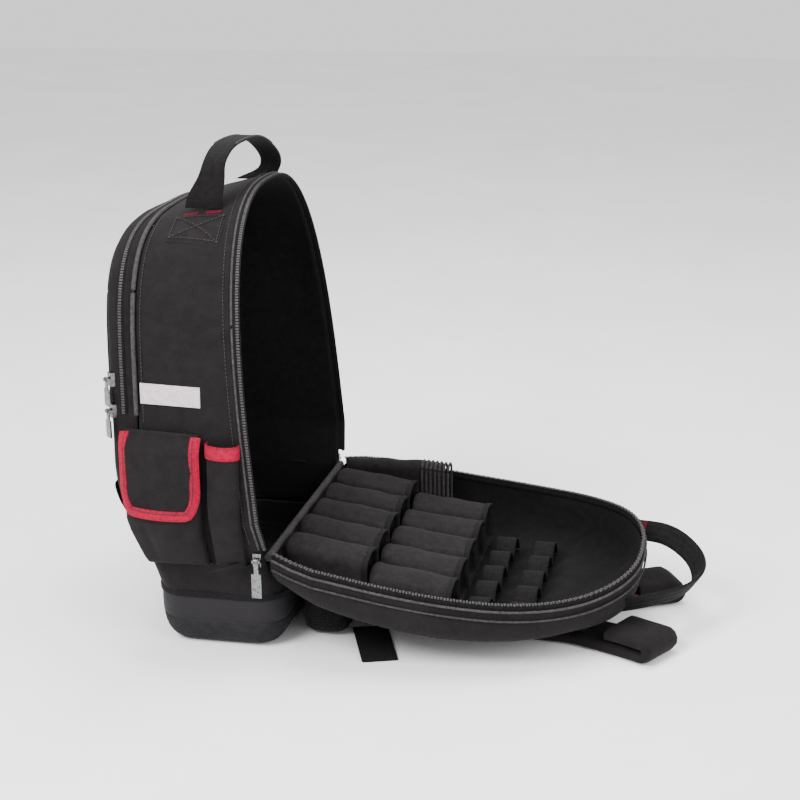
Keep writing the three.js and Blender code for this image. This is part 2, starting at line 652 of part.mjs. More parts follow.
// Bar tacks and reinforcement patches at the feet of the handle
function crestSlab([x0, x1], [y0, y1], thickness, side) {
  const rings = [];
  const steps = Math.ceil((y1 - y0) / TACK_WIDTH);
  for (let j = 0; j <= steps; j++) {
    const y = lerp(y0, y1, j / steps);
    const top = [0, 0.5, 1].map((f) => v3(lerp(x0, x1, f), side * y, crestZ(lerp(x0, x1, f), y) + thickness));
    const under = top.map((p) => v3(p.x, p.y, p.z - thickness - 2 * BODY_WALL)).reverse();
    rings.push([...top, ...under]);
  }
  return solid(loft(rings));
}
for (const [side, word] of [[NEAR, 'near'], [FAR, 'far']]) {
  const patchX = [HANDLE_FOOT_X - PATCH_LENGTH / 2, HANDLE_FOOT_X + PATCH_LENGTH / 2];
  const patchY = [HANDLE_FOOT_Y + 2 * TACK_WIDTH, HANDLE_FOOT_Y + 2 * TACK_WIDTH + PATCH_HEIGHT];
  add(`handle_patch_${word}`, crestSlab(patchX, patchY, PATCH_THICKNESS, side).subtract(bodyGrown), FABRIC);
  for (const [end, place] of [[-1, 'front'], [1, 'rear']]) {
    const middle = HANDLE_FOOT_X + (end * TACK_SPREAD) / 2;
    const tackX = [middle - TACK_LENGTH / 2, middle + TACK_LENGTH / 2];
    const tackY = [HANDLE_FOOT_Y + 0.6 * TACK_WIDTH, HANDLE_FOOT_Y + 1.6 * TACK_WIDTH];
    const tack = crestSlab(tackX, tackY, TACK_THICKNESS, side).subtract(bodyGrown).subtract(topHandle);
    add(`handle_tack_${word}_${place}`, tack, DARK_RED);
  }
}

// Zip tape round the opening, just past the shell's edge
const openingPath = ringPath(BODY_WALL / 2, HINGE_Z + SLIDER_LENGTH, 1);
const tapeCentre = GAP + ZIP_TAPE_WIDTH / 2;
const openingTapeX = (z) => openingX(z) + tapeCentre;
const openingTape = edgeBand(openingPath, openingTapeX, alongX, ZIP_TAPE_WIDTH, ZIP_TAPE_THICKNESS);
add('opening_zip_tape', openingTape, TAPE);


// Inner pocket on the front wall
const innerHalf = FRONT_HALF_WIDTH - INNER_POCKET_SIDE_MARGIN;
const innerX = [FRONT_X + BODY_WALL + GAP, FRONT_X + BODY_WALL + GAP + INNER_POCKET_DEPTH];
const innerPitch = (2 * innerHalf - POCKET_WALL) / INNER_POCKET_COUNT;
let innerPockets = solid(box(...innerX, -innerHalf, innerHalf, ...INNER_POCKET_Z));
for (let i = 0; i < INNER_POCKET_COUNT; i++) {
  const left = -innerHalf + POCKET_WALL + i * innerPitch;
  const [front, rear] = [innerX[0] + POCKET_WALL, innerX[1] - POCKET_WALL];
  const [floor, mouth] = [INNER_POCKET_Z[0] + POCKET_WALL, INNER_POCKET_Z[1] + POCKET_WALL];
  const room = box(front, rear, left, left + innerPitch - POCKET_WALL, floor, mouth);
  innerPockets = innerPockets.subtract(solid(room));
}
add('inner_pockets', innerPockets, LINING);

// Lid: a wedge-shaped pan in plan like the opening. Its rim and underside are at shares of the rim's height
// by the hinge, at equal steps along its length.

const LID_PROFILE = [
  { rim: 1, under: 0.73 },
  { rim: 0.92, under: 0.535 },
  { rim: 0.83, under: 0.375 },
  { rim: 0.76, under: 0.277 },
  { rim: 0.714, under: 0.241 },
  { rim: 0.714, under: 0.241 },
  { rim: 0.76, under: 0.268 },
];
const rimHeights = LID_PROFILE.map(({ rim }) => rim * LID_RIM_HEIGHT);
const underHeights = LID_PROFILE.map(({ under }) => under * LID_RIM_HEIGHT);
const lidShare = (x) => (x - LID_X) / LID_LENGTH;
const alongLid = (share) => LID_X + LID_LENGTH * share;
const rimZ = (x, y) => profile(rimHeights, lidShare(x)) + LID_TWIST * lidShare(x) ** 2 * y;
const baseZ = (x) => profile(underHeights, lidShare(x));
const LID_ARCH_STEPS = 12;
const SHOULDER_FULLNESS = 0.65;

function lidOutline(inset) {
  const shoulderY = lerp(HINGE_HALF_WIDTH, LID_HALF_WIDTH, SHOULDER_FULLNESS);
  const half = [[LID_X, HINGE_HALF_WIDTH], [LID_X + LID_SHOULDER / 2, shoulderY]];
  const power = 2 / LID_SQUARENESS;
  const reach = LID_LENGTH - LID_SHOULDER;
  for (let k = 0; k <= LID_ARCH_STEPS; k++) {
    const angle = (CREST_ANGLE * k) / LID_ARCH_STEPS;
    const x = LID_X + LID_SHOULDER + reach * Math.sin(angle) ** power;
    half.push([x, LID_HALF_WIDTH * Math.cos(angle) ** power]);
  }
  const moved = half.map(([x, y], i) => {
    const [x0, y0] = half[Math.max(i - 1, 0)];
    const [x1, y1] = i + 1 < half.length ? half[i + 1] : [x, -y];
    const length = Math.hypot(x1 - x0, y1 - y0);
    return [x + (inset * (y1 - y0)) / length, y - (inset * (x1 - x0)) / length];
  });
  moved[0][0] = LID_X + clamp(inset, -GAP, LID_WALL + GAP);
  return moved;
}

function lidRing(inset, z) {
  const half = lidOutline(inset);
  const near = half.map(([x, y]) => v3(x, -y, z(x, -y)));
  const far = half.map(([x, y]) => v3(x, y, z(x, y))).reverse();
  return [...near, ...far];
}
const LID_ROUND = [
  { down: 0, inwards: 0 },
  { down: 0.4, inwards: 0.03 },
  { down: 0.68, inwards: 0.16 },
  { down: 0.88, inwards: 0.45 },
  { down: 1, inwards: 1 },
];
function lidForm(cut, lift) {
  const rings = LID_ROUND.map(({ down, inwards }) => {
    const z = (x, y) => lerp(rimZ(x, y), baseZ(x) + cut, down) + (down === 0 ? lift : 0);
    return lidRing(cut + LID_EDGE_ROUND * inwards, z);
  });
  return loft(rings);
}
const lidOuter = solid(lidForm(0, 0));
const lidGrown = solid(lidForm(-GAP, GAP));
const lidHollow = solid(lidForm(LID_WALL, 2 * LID_WALL));
add('lid_shell', lidOuter.subtract(lidHollow), FABRIC);

// Binding along the hinge line, seated between the body's back wall and the lid
const hingeHalf = HINGE_HALF_WIDTH - BODY_WALL - ZIP_TAPE_THICKNESS;
const bindingRadius = (LID_X - HINGE_X) / 2 + GAP;
const hingeRoll = new THREE.CylinderGeometry(bindingRadius, bindingRadius, 2 * hingeHalf, 10);
hingeRoll.translate((LID_X + HINGE_X) / 2, 0, HINGE_Z + bindingRadius / 2);
add('hinge_binding', solid(hingeRoll).subtract(bodyGrown).subtract(lidGrown), TAPE);

const tapeLift = 2 * GAP + ZIP_TAPE_WIDTH / 2;
const lidTapeBand = lidRing(LID_WALL / 2, rimZ).map((p) => {
  return { at: v3(p.x, p.y, p.z + tapeLift), across: v3(0, 0, 1), width: ZIP_TAPE_WIDTH };
});
add('lid_zip_tape', strap(lidTapeBand, ZIP_TAPE_THICKNESS), TAPE);

// Tool sleeves: two tiers across the lid, their mouths towards the lid's end. Beside them, along the far
// side, runs one raised sleeve of its own.
const farSleeveOuter = HINGE_HALF_WIDTH - 1.5 * LID_WALL;
const farSleeveY = [farSleeveOuter - FAR_SLEEVE_WIDTH, farSleeveOuter];
const sleevesHalfWidth = farSleeveY[0] - GAP;
const sleevesX = LID_X + SLEEVES_START;
const lidRoom = solid(lidForm(LID_WALL + GAP, 3 * SLEEVE_RISE));
const SLEEVE_SEAM = 0.45;
const SLEEVE_COLUMNS = 5;
function sleeveTier(x0, drop) {
  const x1 = x0 + SLEEVE_TIER_LENGTH - GAP;
  const pitch = (2 * sleevesHalfWidth) / SLEEVE_COUNT;
  const floorZ = (x) => baseZ(x) + LID_WALL + GAP;
  const seam = (x, y) => rimZ(x, y) - drop + SLEEVE_RISE * SLEEVE_SEAM;
  const top = (x, y) => {
    const u = ((y + sleevesHalfWidth) / pitch) % 1;
    return seam(x, y) + SLEEVE_RISE * (1 - SLEEVE_SEAM) * hump(u);
  };
  const rings = [];
  const columns = SLEEVE_COUNT * SLEEVE_COLUMNS;
  for (let j = 0; j <= 3; j++) {
    const x = lerp(x0, x1, j / 3);
    const upper = [];
    const lower = [];
    for (let i = 0; i <= columns; i++) {
      const y = lerp(-sleevesHalfWidth, sleevesHalfWidth, i / columns);
      upper.push(v3(x, y, i % SLEEVE_COLUMNS === 0 ? seam(x, y) : top(x, y)));
      lower.unshift(v3(x, y, floorZ(x)));
    }
    rings.push([...upper, ...lower]);
  }
  let tier = solid(loft(rings));
  for (let i = 0; i < SLEEVE_COUNT; i++) {
    const middle = -sleevesHalfWidth + pitch * (i + 0.5);
    const half = pitch / 2 - SLEEVE_WALL;
    const rooms = [0, 1, 2, 3].map((j) => {
      const x = lerp(x0, x1, j / 3) + 2 * SLEEVE_WALL;
      const ceiling = seam(x, middle) - SLEEVE_WALL;
      const floor = floorZ(x) + SLEEVE_WALL;
      const peak = ceiling + SLEEVE_RISE * (1 - SLEEVE_SEAM) * 0.9;
      const wall = [v3(x, middle - half, floor), v3(x, middle - half, ceiling), v3(x, middle, peak)];
      return [...wall, v3(x, middle + half, ceiling), v3(x, middle + half, floor), v3(x, middle, floor)];
    });
    tier = tier.subtract(solid(loft(rooms)));
  }
  return tier.intersect(lidRoom);
}
add('tool_sleeves_lower', sleeveTier(sleevesX, 0), FABRIC);
add('tool_sleeves_upper', sleeveTier(sleevesX + SLEEVE_TIER_LENGTH, SLEEVE_TIER_STEP), FABRIC);

// Raised sleeve along the far side of the lid, open towards the lid's end
function lengthwiseLoft(x0, x1, steps, section) {
  const rings = [];
  for (let j = 0; j <= steps; j++) {
    const x = lerp(x0, x1, j / steps);
    rings.push(section(x).map(([y, z]) => v3(x, y, z)));
  }
  return solid(loft(rings));
}
function roundedSection(y0, y1, z0, z1, radius) {
  const points = [];
  const r = Math.min(radius, (y1 - y0) / 2, (z1 - z0) / 2);
  const corners = [[y0 + r, z0 + r, 180], [y0 + r, z1 - r, 90], [y1 - r, z1 - r, 0], [y1 - r, z0 + r, -90]];
  for (const [y, z, start] of corners) {
    for (const turn of [90, 45, 0]) {
      const angle = THREE.MathUtils.degToRad(start + turn);
      points.push([y + r * Math.cos(angle), z + r * Math.sin(angle)]);
    }
  }
  return points;
}
function farSleeveSection(cut) {
  return (x) => {
    const floor = baseZ(x) + LID_WALL * 4 + cut;
    const swell = FAR_SLEEVE_RISE * 0.2 * hump((x - sleevesX) / FAR_SLEEVE_LENGTH);
    const top = HINGE_Z + FAR_SLEEVE_RISE + swell - cut;
    return roundedSection(farSleeveY[0] + cut, farSleeveY[1] - cut, floor, top, FAR_SLEEVE_WIDTH * 0.4);
  };
}
const farSleeveEnd = sleevesX + FAR_SLEEVE_LENGTH;
const farSleeve = lengthwiseLoft(sleevesX, farSleeveEnd, 3, farSleeveSection(0));
const farRoomStart = sleevesX + 2 * SLEEVE_WALL;
const farRoomSection = farSleeveSection(SLEEVE_WALL);
const farSleeveRoom = lengthwiseLoft(farRoomStart, farSleeveEnd + SLEEVE_WALL, 3, farRoomSection);
add('far_sleeve', farSleeve.subtract(farSleeveRoom).intersect(lidRoom), FABRIC);

// Elastic rows: a band sewn down between loops that stand up side by side
function elasticRow(x) {
  const steps = ELASTIC_LOOPS * 8;
  const highest = Math.max(...[-0.5, 0, 0.5].map((f) => baseZ(x + f * ELASTIC_WIDTH)));
  const floor = highest + LID_WALL + 2 * GAP + ELASTIC_THICKNESS / 2;
  const stations = [];
  for (let i = 0; i <= steps; i++) {
    const u = (i / steps) * ELASTIC_LOOPS;
    const lift = ELASTIC_RISE * Math.abs(Math.sin(Math.PI * u)) ** 0.7;
    const y = lerp(-ELASTIC_HALF_WIDTH, ELASTIC_HALF_WIDTH, i / steps);
    stations.push({ at: v3(x, y, floor + lift), across: alongX, width: ELASTIC_WIDTH });
  }
  return strap(stations, ELASTIC_THICKNESS);
}
const elasticX = sleevesX + 2 * SLEEVE_TIER_LENGTH + ELASTIC_START + ELASTIC_WIDTH / 2;
add('elastic_row_lower', elasticRow(elasticX), WEBBING);
add('elastic_row_upper', elasticRow(elasticX + ELASTIC_PITCH), WEBBING);

// Lid handle: webbing looped out from the end of the lid, its flat face leaning up and outwards
const LID_HANDLE_ROUTE = [
  { out: -0.375, side: -0.68, drop: 0.71 },
  { out: 0.2, side: -0.55, drop: 0.64 },
  { out: 0.75, side: -0.28, drop: 0.6 },
  { out: 1.06, side: 0.06, drop: 0.5 },
  { out: 1.01, side: 0.35, drop: 0.3 },
  { out: 0.66, side: 0.67, drop: 0.14 },
  { out: 0.2, side: 0.9, drop: 0.08 },
  { out: -0.5, side: 1, drop: 0.1 },
];
const lidEnd = LID_X + LID_LENGTH;
const lidEndRim = rimZ(lidEnd, 0);
const lidEndHeight = lidEndRim - baseZ(lidEnd);
const lidHandlePoints = LID_HANDLE_ROUTE.map(({ out, side, drop }) => {
  return v3(lidEnd + out * LID_HANDLE_REACH, side * LID_HANDLE_HALF_SPAN, lidEndRim - drop * lidEndHeight);
});
const lidHandleCurve = new THREE.CatmullRomCurve3(lidHandlePoints);
const LID_HANDLE_STEPS = 28;
const lidHandleLean = THREE.MathUtils.degToRad(55);
const lidHandleBand = Array.from({ length: LID_HANDLE_STEPS + 1 }, (_, i) => {
  const at = lidHandleCurve.getPoint(i / LID_HANDLE_STEPS);
  const tangent = lidHandleCurve.getTangent(i / LID_HANDLE_STEPS);
  const outwards = v3(0, 0, 1).cross(tangent).normalize().multiplyScalar(-1);
  const across = outwards.multiplyScalar(Math.cos(lidHandleLean)).add(v3(0, 0, Math.sin(lidHandleLean)));
  return { at, across: across.normalize(), width: LID_HANDLE_WIDTH };
});
const lidHandle = solid(strap(lidHandleBand, HANDLE_THICKNESS));
add('lid_handle', lidHandle.subtract(lidGrown), WEBBING);

// Padding under the lid: a lumbar roll by the hinge and two long pads, all standing on the ground
function cushion([x0, x1], [y0, y1], [base, top], round, steps = 8) {
  const rings = [];
  for (let j = 0; j <= steps; j++) {
    const angle = Math.PI * (j / steps);
    const x = lerp(x0, x1, (1 - Math.cos(angle)) / 2);
    const inset = round * (1 - Math.sin(angle) ** 0.5);
    const [z0, z1] = [base + inset / 3, top(x) - inset / 3];
    const section = roundedSection(y0 + inset, y1 - inset, z0, z1, round);
    rings.push(section.map(([y, z]) => v3(x, y, z)));
  }
  return solid(loft(rings));
}
const LUMBAR_SPAN = [0.04, 0.178];
const BACK_PAD_SPAN = [0.2, 0.874];
const LUMBAR_ROUND = 20;
const BACK_PAD_ROUND = 9;
const lumbarX = LUMBAR_SPAN.map(alongLid);
const intoLid = (x) => baseZ(x) + LID_WALL;
const padBase = STRAP_THICKNESS + GAP;
const lumbarY = [-LUMBAR_HALF_WIDTH, LUMBAR_HALF_WIDTH];
add('lumbar_pad', cushion(lumbarX, lumbarY, [0, intoLid], LUMBAR_ROUND).subtract(lidGrown), FABRIC);
for (const [side, word] of [[NEAR, 'near'], [FAR, 'far']]) {
  const padY = side === NEAR ? [-BACK_PAD_Y[1], -BACK_PAD_Y[0]] : BACK_PAD_Y;
  const pad = cushion(BACK_PAD_SPAN.map(alongLid), padY, [padBase, intoLid], BACK_PAD_ROUND, 10);
  add(`back_pad_${word}`, pad.subtract(lidGrown), FABRIC);
}

// Shoulder straps: each lies on the ground under the long pads, runs out past the end of the lid, splayed
// sideways, folds over and comes back on top of itself to its root under the lid
const STRAP_ROUTE = [
  { along: 0.348, out: 0 },
  { along: 0.58, out: 0 },
  { along: 0.786, out: 0.05 },
  { along: 0.915, out: 0.35 },
  { along: 1.052, out: 1 },
];
const FOLD_STEPS = 6;
const RUN_STEPS = 10;
function shoulderStrap(side) {
  const half = STRAP_THICKNESS / 2;
  const sideways = (out) => side * (STRAP_Y + STRAP_SPLAY * out);
  const route = STRAP_ROUTE.map(({ along, out }) => v3(alongLid(along), sideways(out), half));
  const plan = new THREE.CatmullRomCurve3(route);
  const end = plan.getPoint(1);
  const out = plan.getTangent(1);
  const stations = [];
  const put = (at, along) => {
    const across = v3(0, 0, 1).cross(along).normalize();
    stations.push({ at, across, width: STRAP_WIDTH });
  };
  for (let i = 0; i < RUN_STEPS; i++) put(plan.getPoint(i / RUN_STEPS), plan.getTangent(i / RUN_STEPS));
  const radius = half + GAP;
  for (let i = 0; i <= FOLD_STEPS; i++) {
    const angle = (Math.PI * i) / FOLD_STEPS;
    const at = end.clone().addScaledVector(out, radius * Math.sin(angle));
    at.z += radius * (1 - Math.cos(angle));
    put(at, out);
  }
  const back = end.clone().addScaledVector(out, -STRAP_RETURN);
  back.z += 2 * radius;
  put(back, out);
  return strap(stations, STRAP_THICKNESS);
}

// Ladder buckles at the straps' roots, webbing from each to the lumbar pad, and the loose webbing tails
const BUCKLE_SLOTS = [0.12, 0.56];
const BUCKLE_SLOT_LENGTH = 0.32;
const TAIL_ROOT = { along: 0.224, out: 0.375 };
const TAIL_TIP = { along: 0.304, out: 0.823 };
const buckleX = alongLid(STRAP_ROUTE[0].along) - BUCKLE_LENGTH - GAP;
const buckleZ = WEBBING_THICKNESS + GAP;
const tailZ = WEBBING_THICKNESS / 2;
const tailPoint = ({ along, out }) => v3(alongLid(along), out * LID_HALF_WIDTH, tailZ);
const tailEnds = [TAIL_ROOT, TAIL_TIP].map(tailPoint);
const tailWay = tailEnds[1].clone().sub(tailEnds[0]).normalize();
function ladderBuckle() {
  const half = WEBBING_WIDTH / 2;
  const outer = half + BUCKLE_BAR;
  let buckle = solid(box(0, BUCKLE_LENGTH, -outer, outer, 0, BUCKLE_THICKNESS));
  for (const start of BUCKLE_SLOTS) {
    const x0 = start * BUCKLE_LENGTH;
    const x1 = x0 + BUCKLE_SLOT_LENGTH * BUCKLE_LENGTH;
    buckle = buckle.subtract(solid(box(x0, x1, -half, half, -BUCKLE_THICKNESS, 2 * BUCKLE_THICKNESS)));
  }
  return buckle;
}
for (const [side, word] of [[NEAR, 'near'], [FAR, 'far']]) {
  add(`shoulder_strap_${word}`, shoulderStrap(side), FABRIC);
  add(`strap_buckle_${word}`, ladderBuckle().translate([buckleX, side * STRAP_Y, buckleZ]), PLASTIC);
  const anchorZ = buckleZ + BUCKLE_THICKNESS / 2;
  const anchor = [lumbarX[1] + GAP, buckleX - GAP].map((x) => {
    return { at: v3(x, side * STRAP_Y, anchorZ), across: v3(0, 1, 0), width: WEBBING_WIDTH };
  });
  add(`strap_anchor_${word}`, strap(anchor, WEBBING_THICKNESS), WEBBING);
  const tail = tailEnds.map((end) => {
    const across = v3(-tailWay.y * side, tailWay.x, 0);
    return { at: v3(end.x, end.y * side, end.z), across, width: WEBBING_WIDTH };
  });
  add(`strap_tail_${word}`, strap(tail, WEBBING_THICKNESS), WEBBING);
}

// Red bar tacks where the lid handle is sewn to the end of the lid
for (const [share, word] of [[LID_TACK_SHARE, 'near'], [1 - LID_TACK_SHARE, 'far']]) {
  const { at, across } = lidHandleBand[Math.round(share * LID_HANDLE_STEPS)];
  const along = lidHandleCurve.getTangent(share);
  const lift = across.clone().cross(along).normalize();
  lift.multiplyScalar((HANDLE_THICKNESS + TACK_THICKNESS) / 2 + GAP);
  const tack = [-0.5, 0.5].map((f) => {
    const centre = at.clone().add(lift).addScaledVector(along, f * TACK_WIDTH);
    return { at: centre, across, width: LID_HANDLE_WIDTH * 0.86 };
  });
  const tackSolid = solid(strap(tack, TACK_THICKNESS)).subtract(lidHandle).subtract(lidGrown);
  add(`lid_tack_${word}`, tackSolid, DARK_RED);
}

// Zip sliders and their pull tabs. Each is made about its pin, which lies along X, with the zip tape on the
// side of +Y; the tab hangs down from the pin.
function pinAlongX(radius, length) {
  return new THREE.CylinderGeometry(radius, radius, length, 12).rotateZ(Math.PI / 2);
}
const pinRadius = BAIL_DIAMETER / 2;
const knuckleHole = pinRadius + PIN_CLEARANCE;
const knuckleRadius = PULL_EYE / 2 + PIN_CLEARANCE;
const knuckleLength = SLIDER_WIDTH - 2 * CHEEK - 2 * PIN_CLEARANCE;
const sliderFace = knuckleRadius + PIN_CLEARANCE;
function slider() {
  const half = SLIDER_WIDTH / 2;
  const long = SLIDER_LENGTH / 2;
  const plate = solid(box(-half, half, sliderFace, sliderFace + SLIDER_THICKNESS, -long, long));
  const cheekHalf = 1.6 * pinRadius;
  const cheeks = [-1, 1].map((end) => {
    const x = end * (half - CHEEK / 2);
    return solid(box(x - CHEEK / 2, x + CHEEK / 2, -cheekHalf, sliderFace + CHEEK, -cheekHalf, cheekHalf));
  });
  return plate.add(cheeks[0]).add(cheeks[1]).add(solid(pinAlongX(pinRadius, SLIDER_WIDTH - CHEEK)));
}
function pullTab(length) {
  const knuckle = solid(pinAlongX(knuckleRadius, knuckleLength));
  const thick = PULL_THICKNESS / 2;
  const neckHalf = knuckleLength / 2;
  const neck = solid(box(-neckHalf, neckHalf, -thick, thick, -length * PULL_NECK - PULL_THICKNESS, 0));
  const plate = solid(box(-PULL_WIDTH / 2, PULL_WIDTH / 2, -thick, thick, -length, -length * PULL_NECK));
  const hole = solid(pinAlongX(knuckleHole, knuckleLength * 2));
  return knuckle.add(neck).add(plate).subtract(hole);
}
function zipEnd(sliderName, pullName, pin, turn, length) {
  const place = (shape) => shape.rotate([0, 0, turn]).translate([pin.x, pin.y, pin.z]);
  add(sliderName, seatOnBody(place(slider())), METAL);
  add(pullName, place(pullTab(length)), METAL);
}
const sliderStand = sliderFace + SLIDER_THICKNESS - SLIDER_SINK;
const mainPinZ = HINGE_Z + SLIDER_LENGTH / 4;
const mainPinY = lowerHalfWidth(mainPinZ + SLIDER_LENGTH / 2, 1) + sliderStand;
for (const [side, word] of [[NEAR, 'near'], [FAR, 'far']]) {
  const pin = v3(HINGE_X - SLIDER_WIDTH / 2, side * mainPinY, mainPinZ);
  zipEnd(`zip_slider_${word}`, `pull_tab_${word}`, pin, side === NEAR ? 0 : 180, MAIN_PULL_LENGTH);
}
const cornerRow = COMPARTMENT_SECTIONS[3];
const cornerX = FRONT_X - COMPARTMENT_DEPTH * cornerRow.depth;
const cornerY = FRONT_HALF_WIDTH - COMPARTMENT_INSET * cornerRow.inset;
FRONT_PULL_Z.forEach((z, i) => {
  const word = ['upper', 'lower'][i];
  const turn = -FRONT_PULL_TURN;
  const angle = THREE.MathUtils.degToRad(FRONT_PULL_TURN);
  const pin = v3(cornerX - Math.sin(angle) * sliderStand, -cornerY - Math.cos(angle) * sliderStand, z);
  zipEnd(`front_slider_${word}`, `front_pull_${word}`, pin, turn, FRONT_PULL_LENGTH);
});

export default backpack;
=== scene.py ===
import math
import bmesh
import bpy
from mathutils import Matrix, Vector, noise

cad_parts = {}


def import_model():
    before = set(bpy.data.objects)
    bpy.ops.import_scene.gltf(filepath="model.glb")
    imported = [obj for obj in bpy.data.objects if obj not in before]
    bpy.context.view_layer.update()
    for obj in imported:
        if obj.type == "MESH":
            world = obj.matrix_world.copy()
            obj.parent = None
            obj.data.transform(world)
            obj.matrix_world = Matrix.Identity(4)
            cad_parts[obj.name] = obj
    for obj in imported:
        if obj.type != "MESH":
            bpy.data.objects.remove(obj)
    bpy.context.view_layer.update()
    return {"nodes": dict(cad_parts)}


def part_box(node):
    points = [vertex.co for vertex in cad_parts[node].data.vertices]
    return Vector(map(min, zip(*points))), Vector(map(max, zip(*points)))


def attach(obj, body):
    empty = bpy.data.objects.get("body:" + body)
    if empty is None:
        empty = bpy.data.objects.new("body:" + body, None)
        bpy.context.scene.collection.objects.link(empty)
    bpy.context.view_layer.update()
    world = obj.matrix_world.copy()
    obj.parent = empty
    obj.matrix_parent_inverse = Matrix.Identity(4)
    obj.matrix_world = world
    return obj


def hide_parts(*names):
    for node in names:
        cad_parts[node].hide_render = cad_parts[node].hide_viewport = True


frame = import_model()

# %% [markdown]
# # An open tool backpack
# The frame holds the pack as hard solids. Here each cloth piece gets its own mesh: a grid whose points are
# moved onto a surface that a short function describes. Sizes are millimetres until a point becomes a vertex.

# %% First measurements
from types import SimpleNamespace as Sizes

MM = 0.001

# %% [markdown]
# ## Camera and light
# A long lens from a little above looks at the near side. Big soft lamps and a pale floor give a studio look.

# %% Camera, lamps and floor
CAMERA_AT = Vector((0.6017, -1.9496, 0.8451))
CAMERA_TARGET = Vector((0.173, 0, 0.25))
CAMERA_ROLL = math.radians(-0.5)
CAMERA_LENS = 82.9

scene = bpy.context.scene
camera = bpy.data.objects.new("camera", bpy.data.cameras.new("camera"))
camera.data.lens = CAMERA_LENS
camera.data.sensor_width = 36
aim = (CAMERA_TARGET - CAMERA_AT).to_track_quat("-Z", "Y").to_matrix().to_4x4()
camera.matrix_world = Matrix.Translation(CAMERA_AT) @ aim @ Matrix.Rotation(CAMERA_ROLL, 4, "Z")
scene.collection.objects.link(camera)
scene.camera = camera


def lamp(name, place, target, size, power):
    data = bpy.data.lights.new(name, "AREA")
    data.shape = "DISK"
    data.size = size
    data.energy = power
    item = bpy.data.objects.new(name, data)
    item.location = place
    item.rotation_euler = (Vector(target) - Vector(place)).to_track_quat("-Z", "Y").to_euler()
    scene.collection.objects.link(item)


lamp("key", (-0.9, -1.7, 1.9), (0.1, 0, 0.2), 1.3, 105)
lamp("fill", (1.9, -1.3, 1.3), (0.2, 0, 0.1), 1.8, 45)
lamp("top", (0.2, 0.3, 2.3), (0.15, 0, 0), 1.6, 60)
world = bpy.data.worlds.new("studio")
world.use_nodes = True
world.node_tree.nodes["Background"].inputs["Color"].default_value = (1, 1, 1, 1)
world.node_tree.nodes["Background"].inputs["Strength"].default_value = 1.15
scene.world = world
print("camera", [round(v, 3) for v in camera.location])

# %% [markdown]
# ## Materials
# Colours are written as the screen shows them and turned to linear light in one function. Patterns take their
# scale from millimetres. Woven things read the grid's own UV, which is laid out in metres.


# %% Node helpers
def colour(code):
    parts = [int(code[i : i + 2], 16) / 255 for i in (1, 3, 5)]
    linear = [c / 12.92 if c <= 0.04045 else ((c + 0.055) / 1.055) ** 2.4 for c in parts]
    return (*linear, 1.0)


def node(tree, kind, links=None, **values):
    item = tree.nodes.new(kind)
    for key, value in values.items():
        if hasattr(item, key):
            setattr(item, key, value)
        else:
            item.inputs[key.replace("_", " ")].default_value = value
    for socket, source in (links or {}).items():
        tree.links.new(source, item.inputs[socket])
    return item


def feed(tree, socket, value):
    """Links the socket to value, or sets it where value is plain."""
    if hasattr(value, "default_value"):
        tree.links.new(value, socket)
    else:
        socket.default_value = value


def maths(tree, operation, a, b=None, clamp=False):
    item = node(tree, "ShaderNodeMath", operation=operation, use_clamp=clamp)
    for place, value in enumerate([a] if b is None else [a, b]):
        feed(tree, item.inputs[place], value)
    return item.outputs[0]


def scaled(tree, value, factor, offset):
    """value * factor + offset."""
    return maths(tree, "ADD", maths(tree, "MULTIPLY", value, factor), offset)


def new_material(name):
    made = bpy.data.materials.new(name)
    made.use_nodes = True
    tree = made.node_tree
    return made, tree, tree.nodes["Principled BSDF"], node(tree, "ShaderNodeTexCoord").outputs


def clouds(tree, vector, size, detail, **more):
    """Noise with patches of this size in mm."""
    made = node(tree, "ShaderNodeTexNoise", {"Vector": vector}, Scale=1 / (size * MM), Detail=detail, **more)
    return made.outputs["Fac"]


def mottled(tree, shader, dark, light, size, vector, contrast=(0.36, 0.66)):
    """Two shades of one colour, broken up by noise of the given size in mm."""
    fine = clouds(tree, vector, size, 6.0, Roughness=0.68)
    ramp = node(tree, "ShaderNodeValToRGB", {"Fac": fine})
    ramp.color_ramp.elements[0].color = colour(dark)
    ramp.color_ramp.elements[1].color = colour(light)
    ramp.color_ramp.elements[0].position = contrast[0]
    ramp.color_ramp.elements[1].position = contrast[1]
    tree.links.new(ramp.outputs["Color"], shader.inputs["Base Color"])
    return fine


def bump(tree, shader, height, depth):
    item = node(tree, "ShaderNodeBump", {"Height": height}, Strength=1.0, Distance=depth * MM)
    tree.links.new(item.outputs["Normal"], shader.inputs["Normal"])


def waves(tree, value, pitch):
    """A sine from 0 to 1 that repeats every pitch mm."""
    turned = maths(tree, "MULTIPLY", value, 2 * math.pi / (pitch * MM))
    return scaled(tree, maths(tree, "SINE", turned), 0.5, 0.5)


def mixed(tree, factor, a, b):
    """Two colours, each a value or a socket, mixed by a socket."""
    item = node(tree, "ShaderNodeMix", data_type="RGBA")
    for place, value in ((0, factor), (6, a), (7, b)):
        feed(tree, item.inputs[place], value)
    return item.outputs[2]


print("helpers ready")

# %% [markdown]
# Oxford cloth is a plain weave: threads go over and under, so its height is the product of two waves.


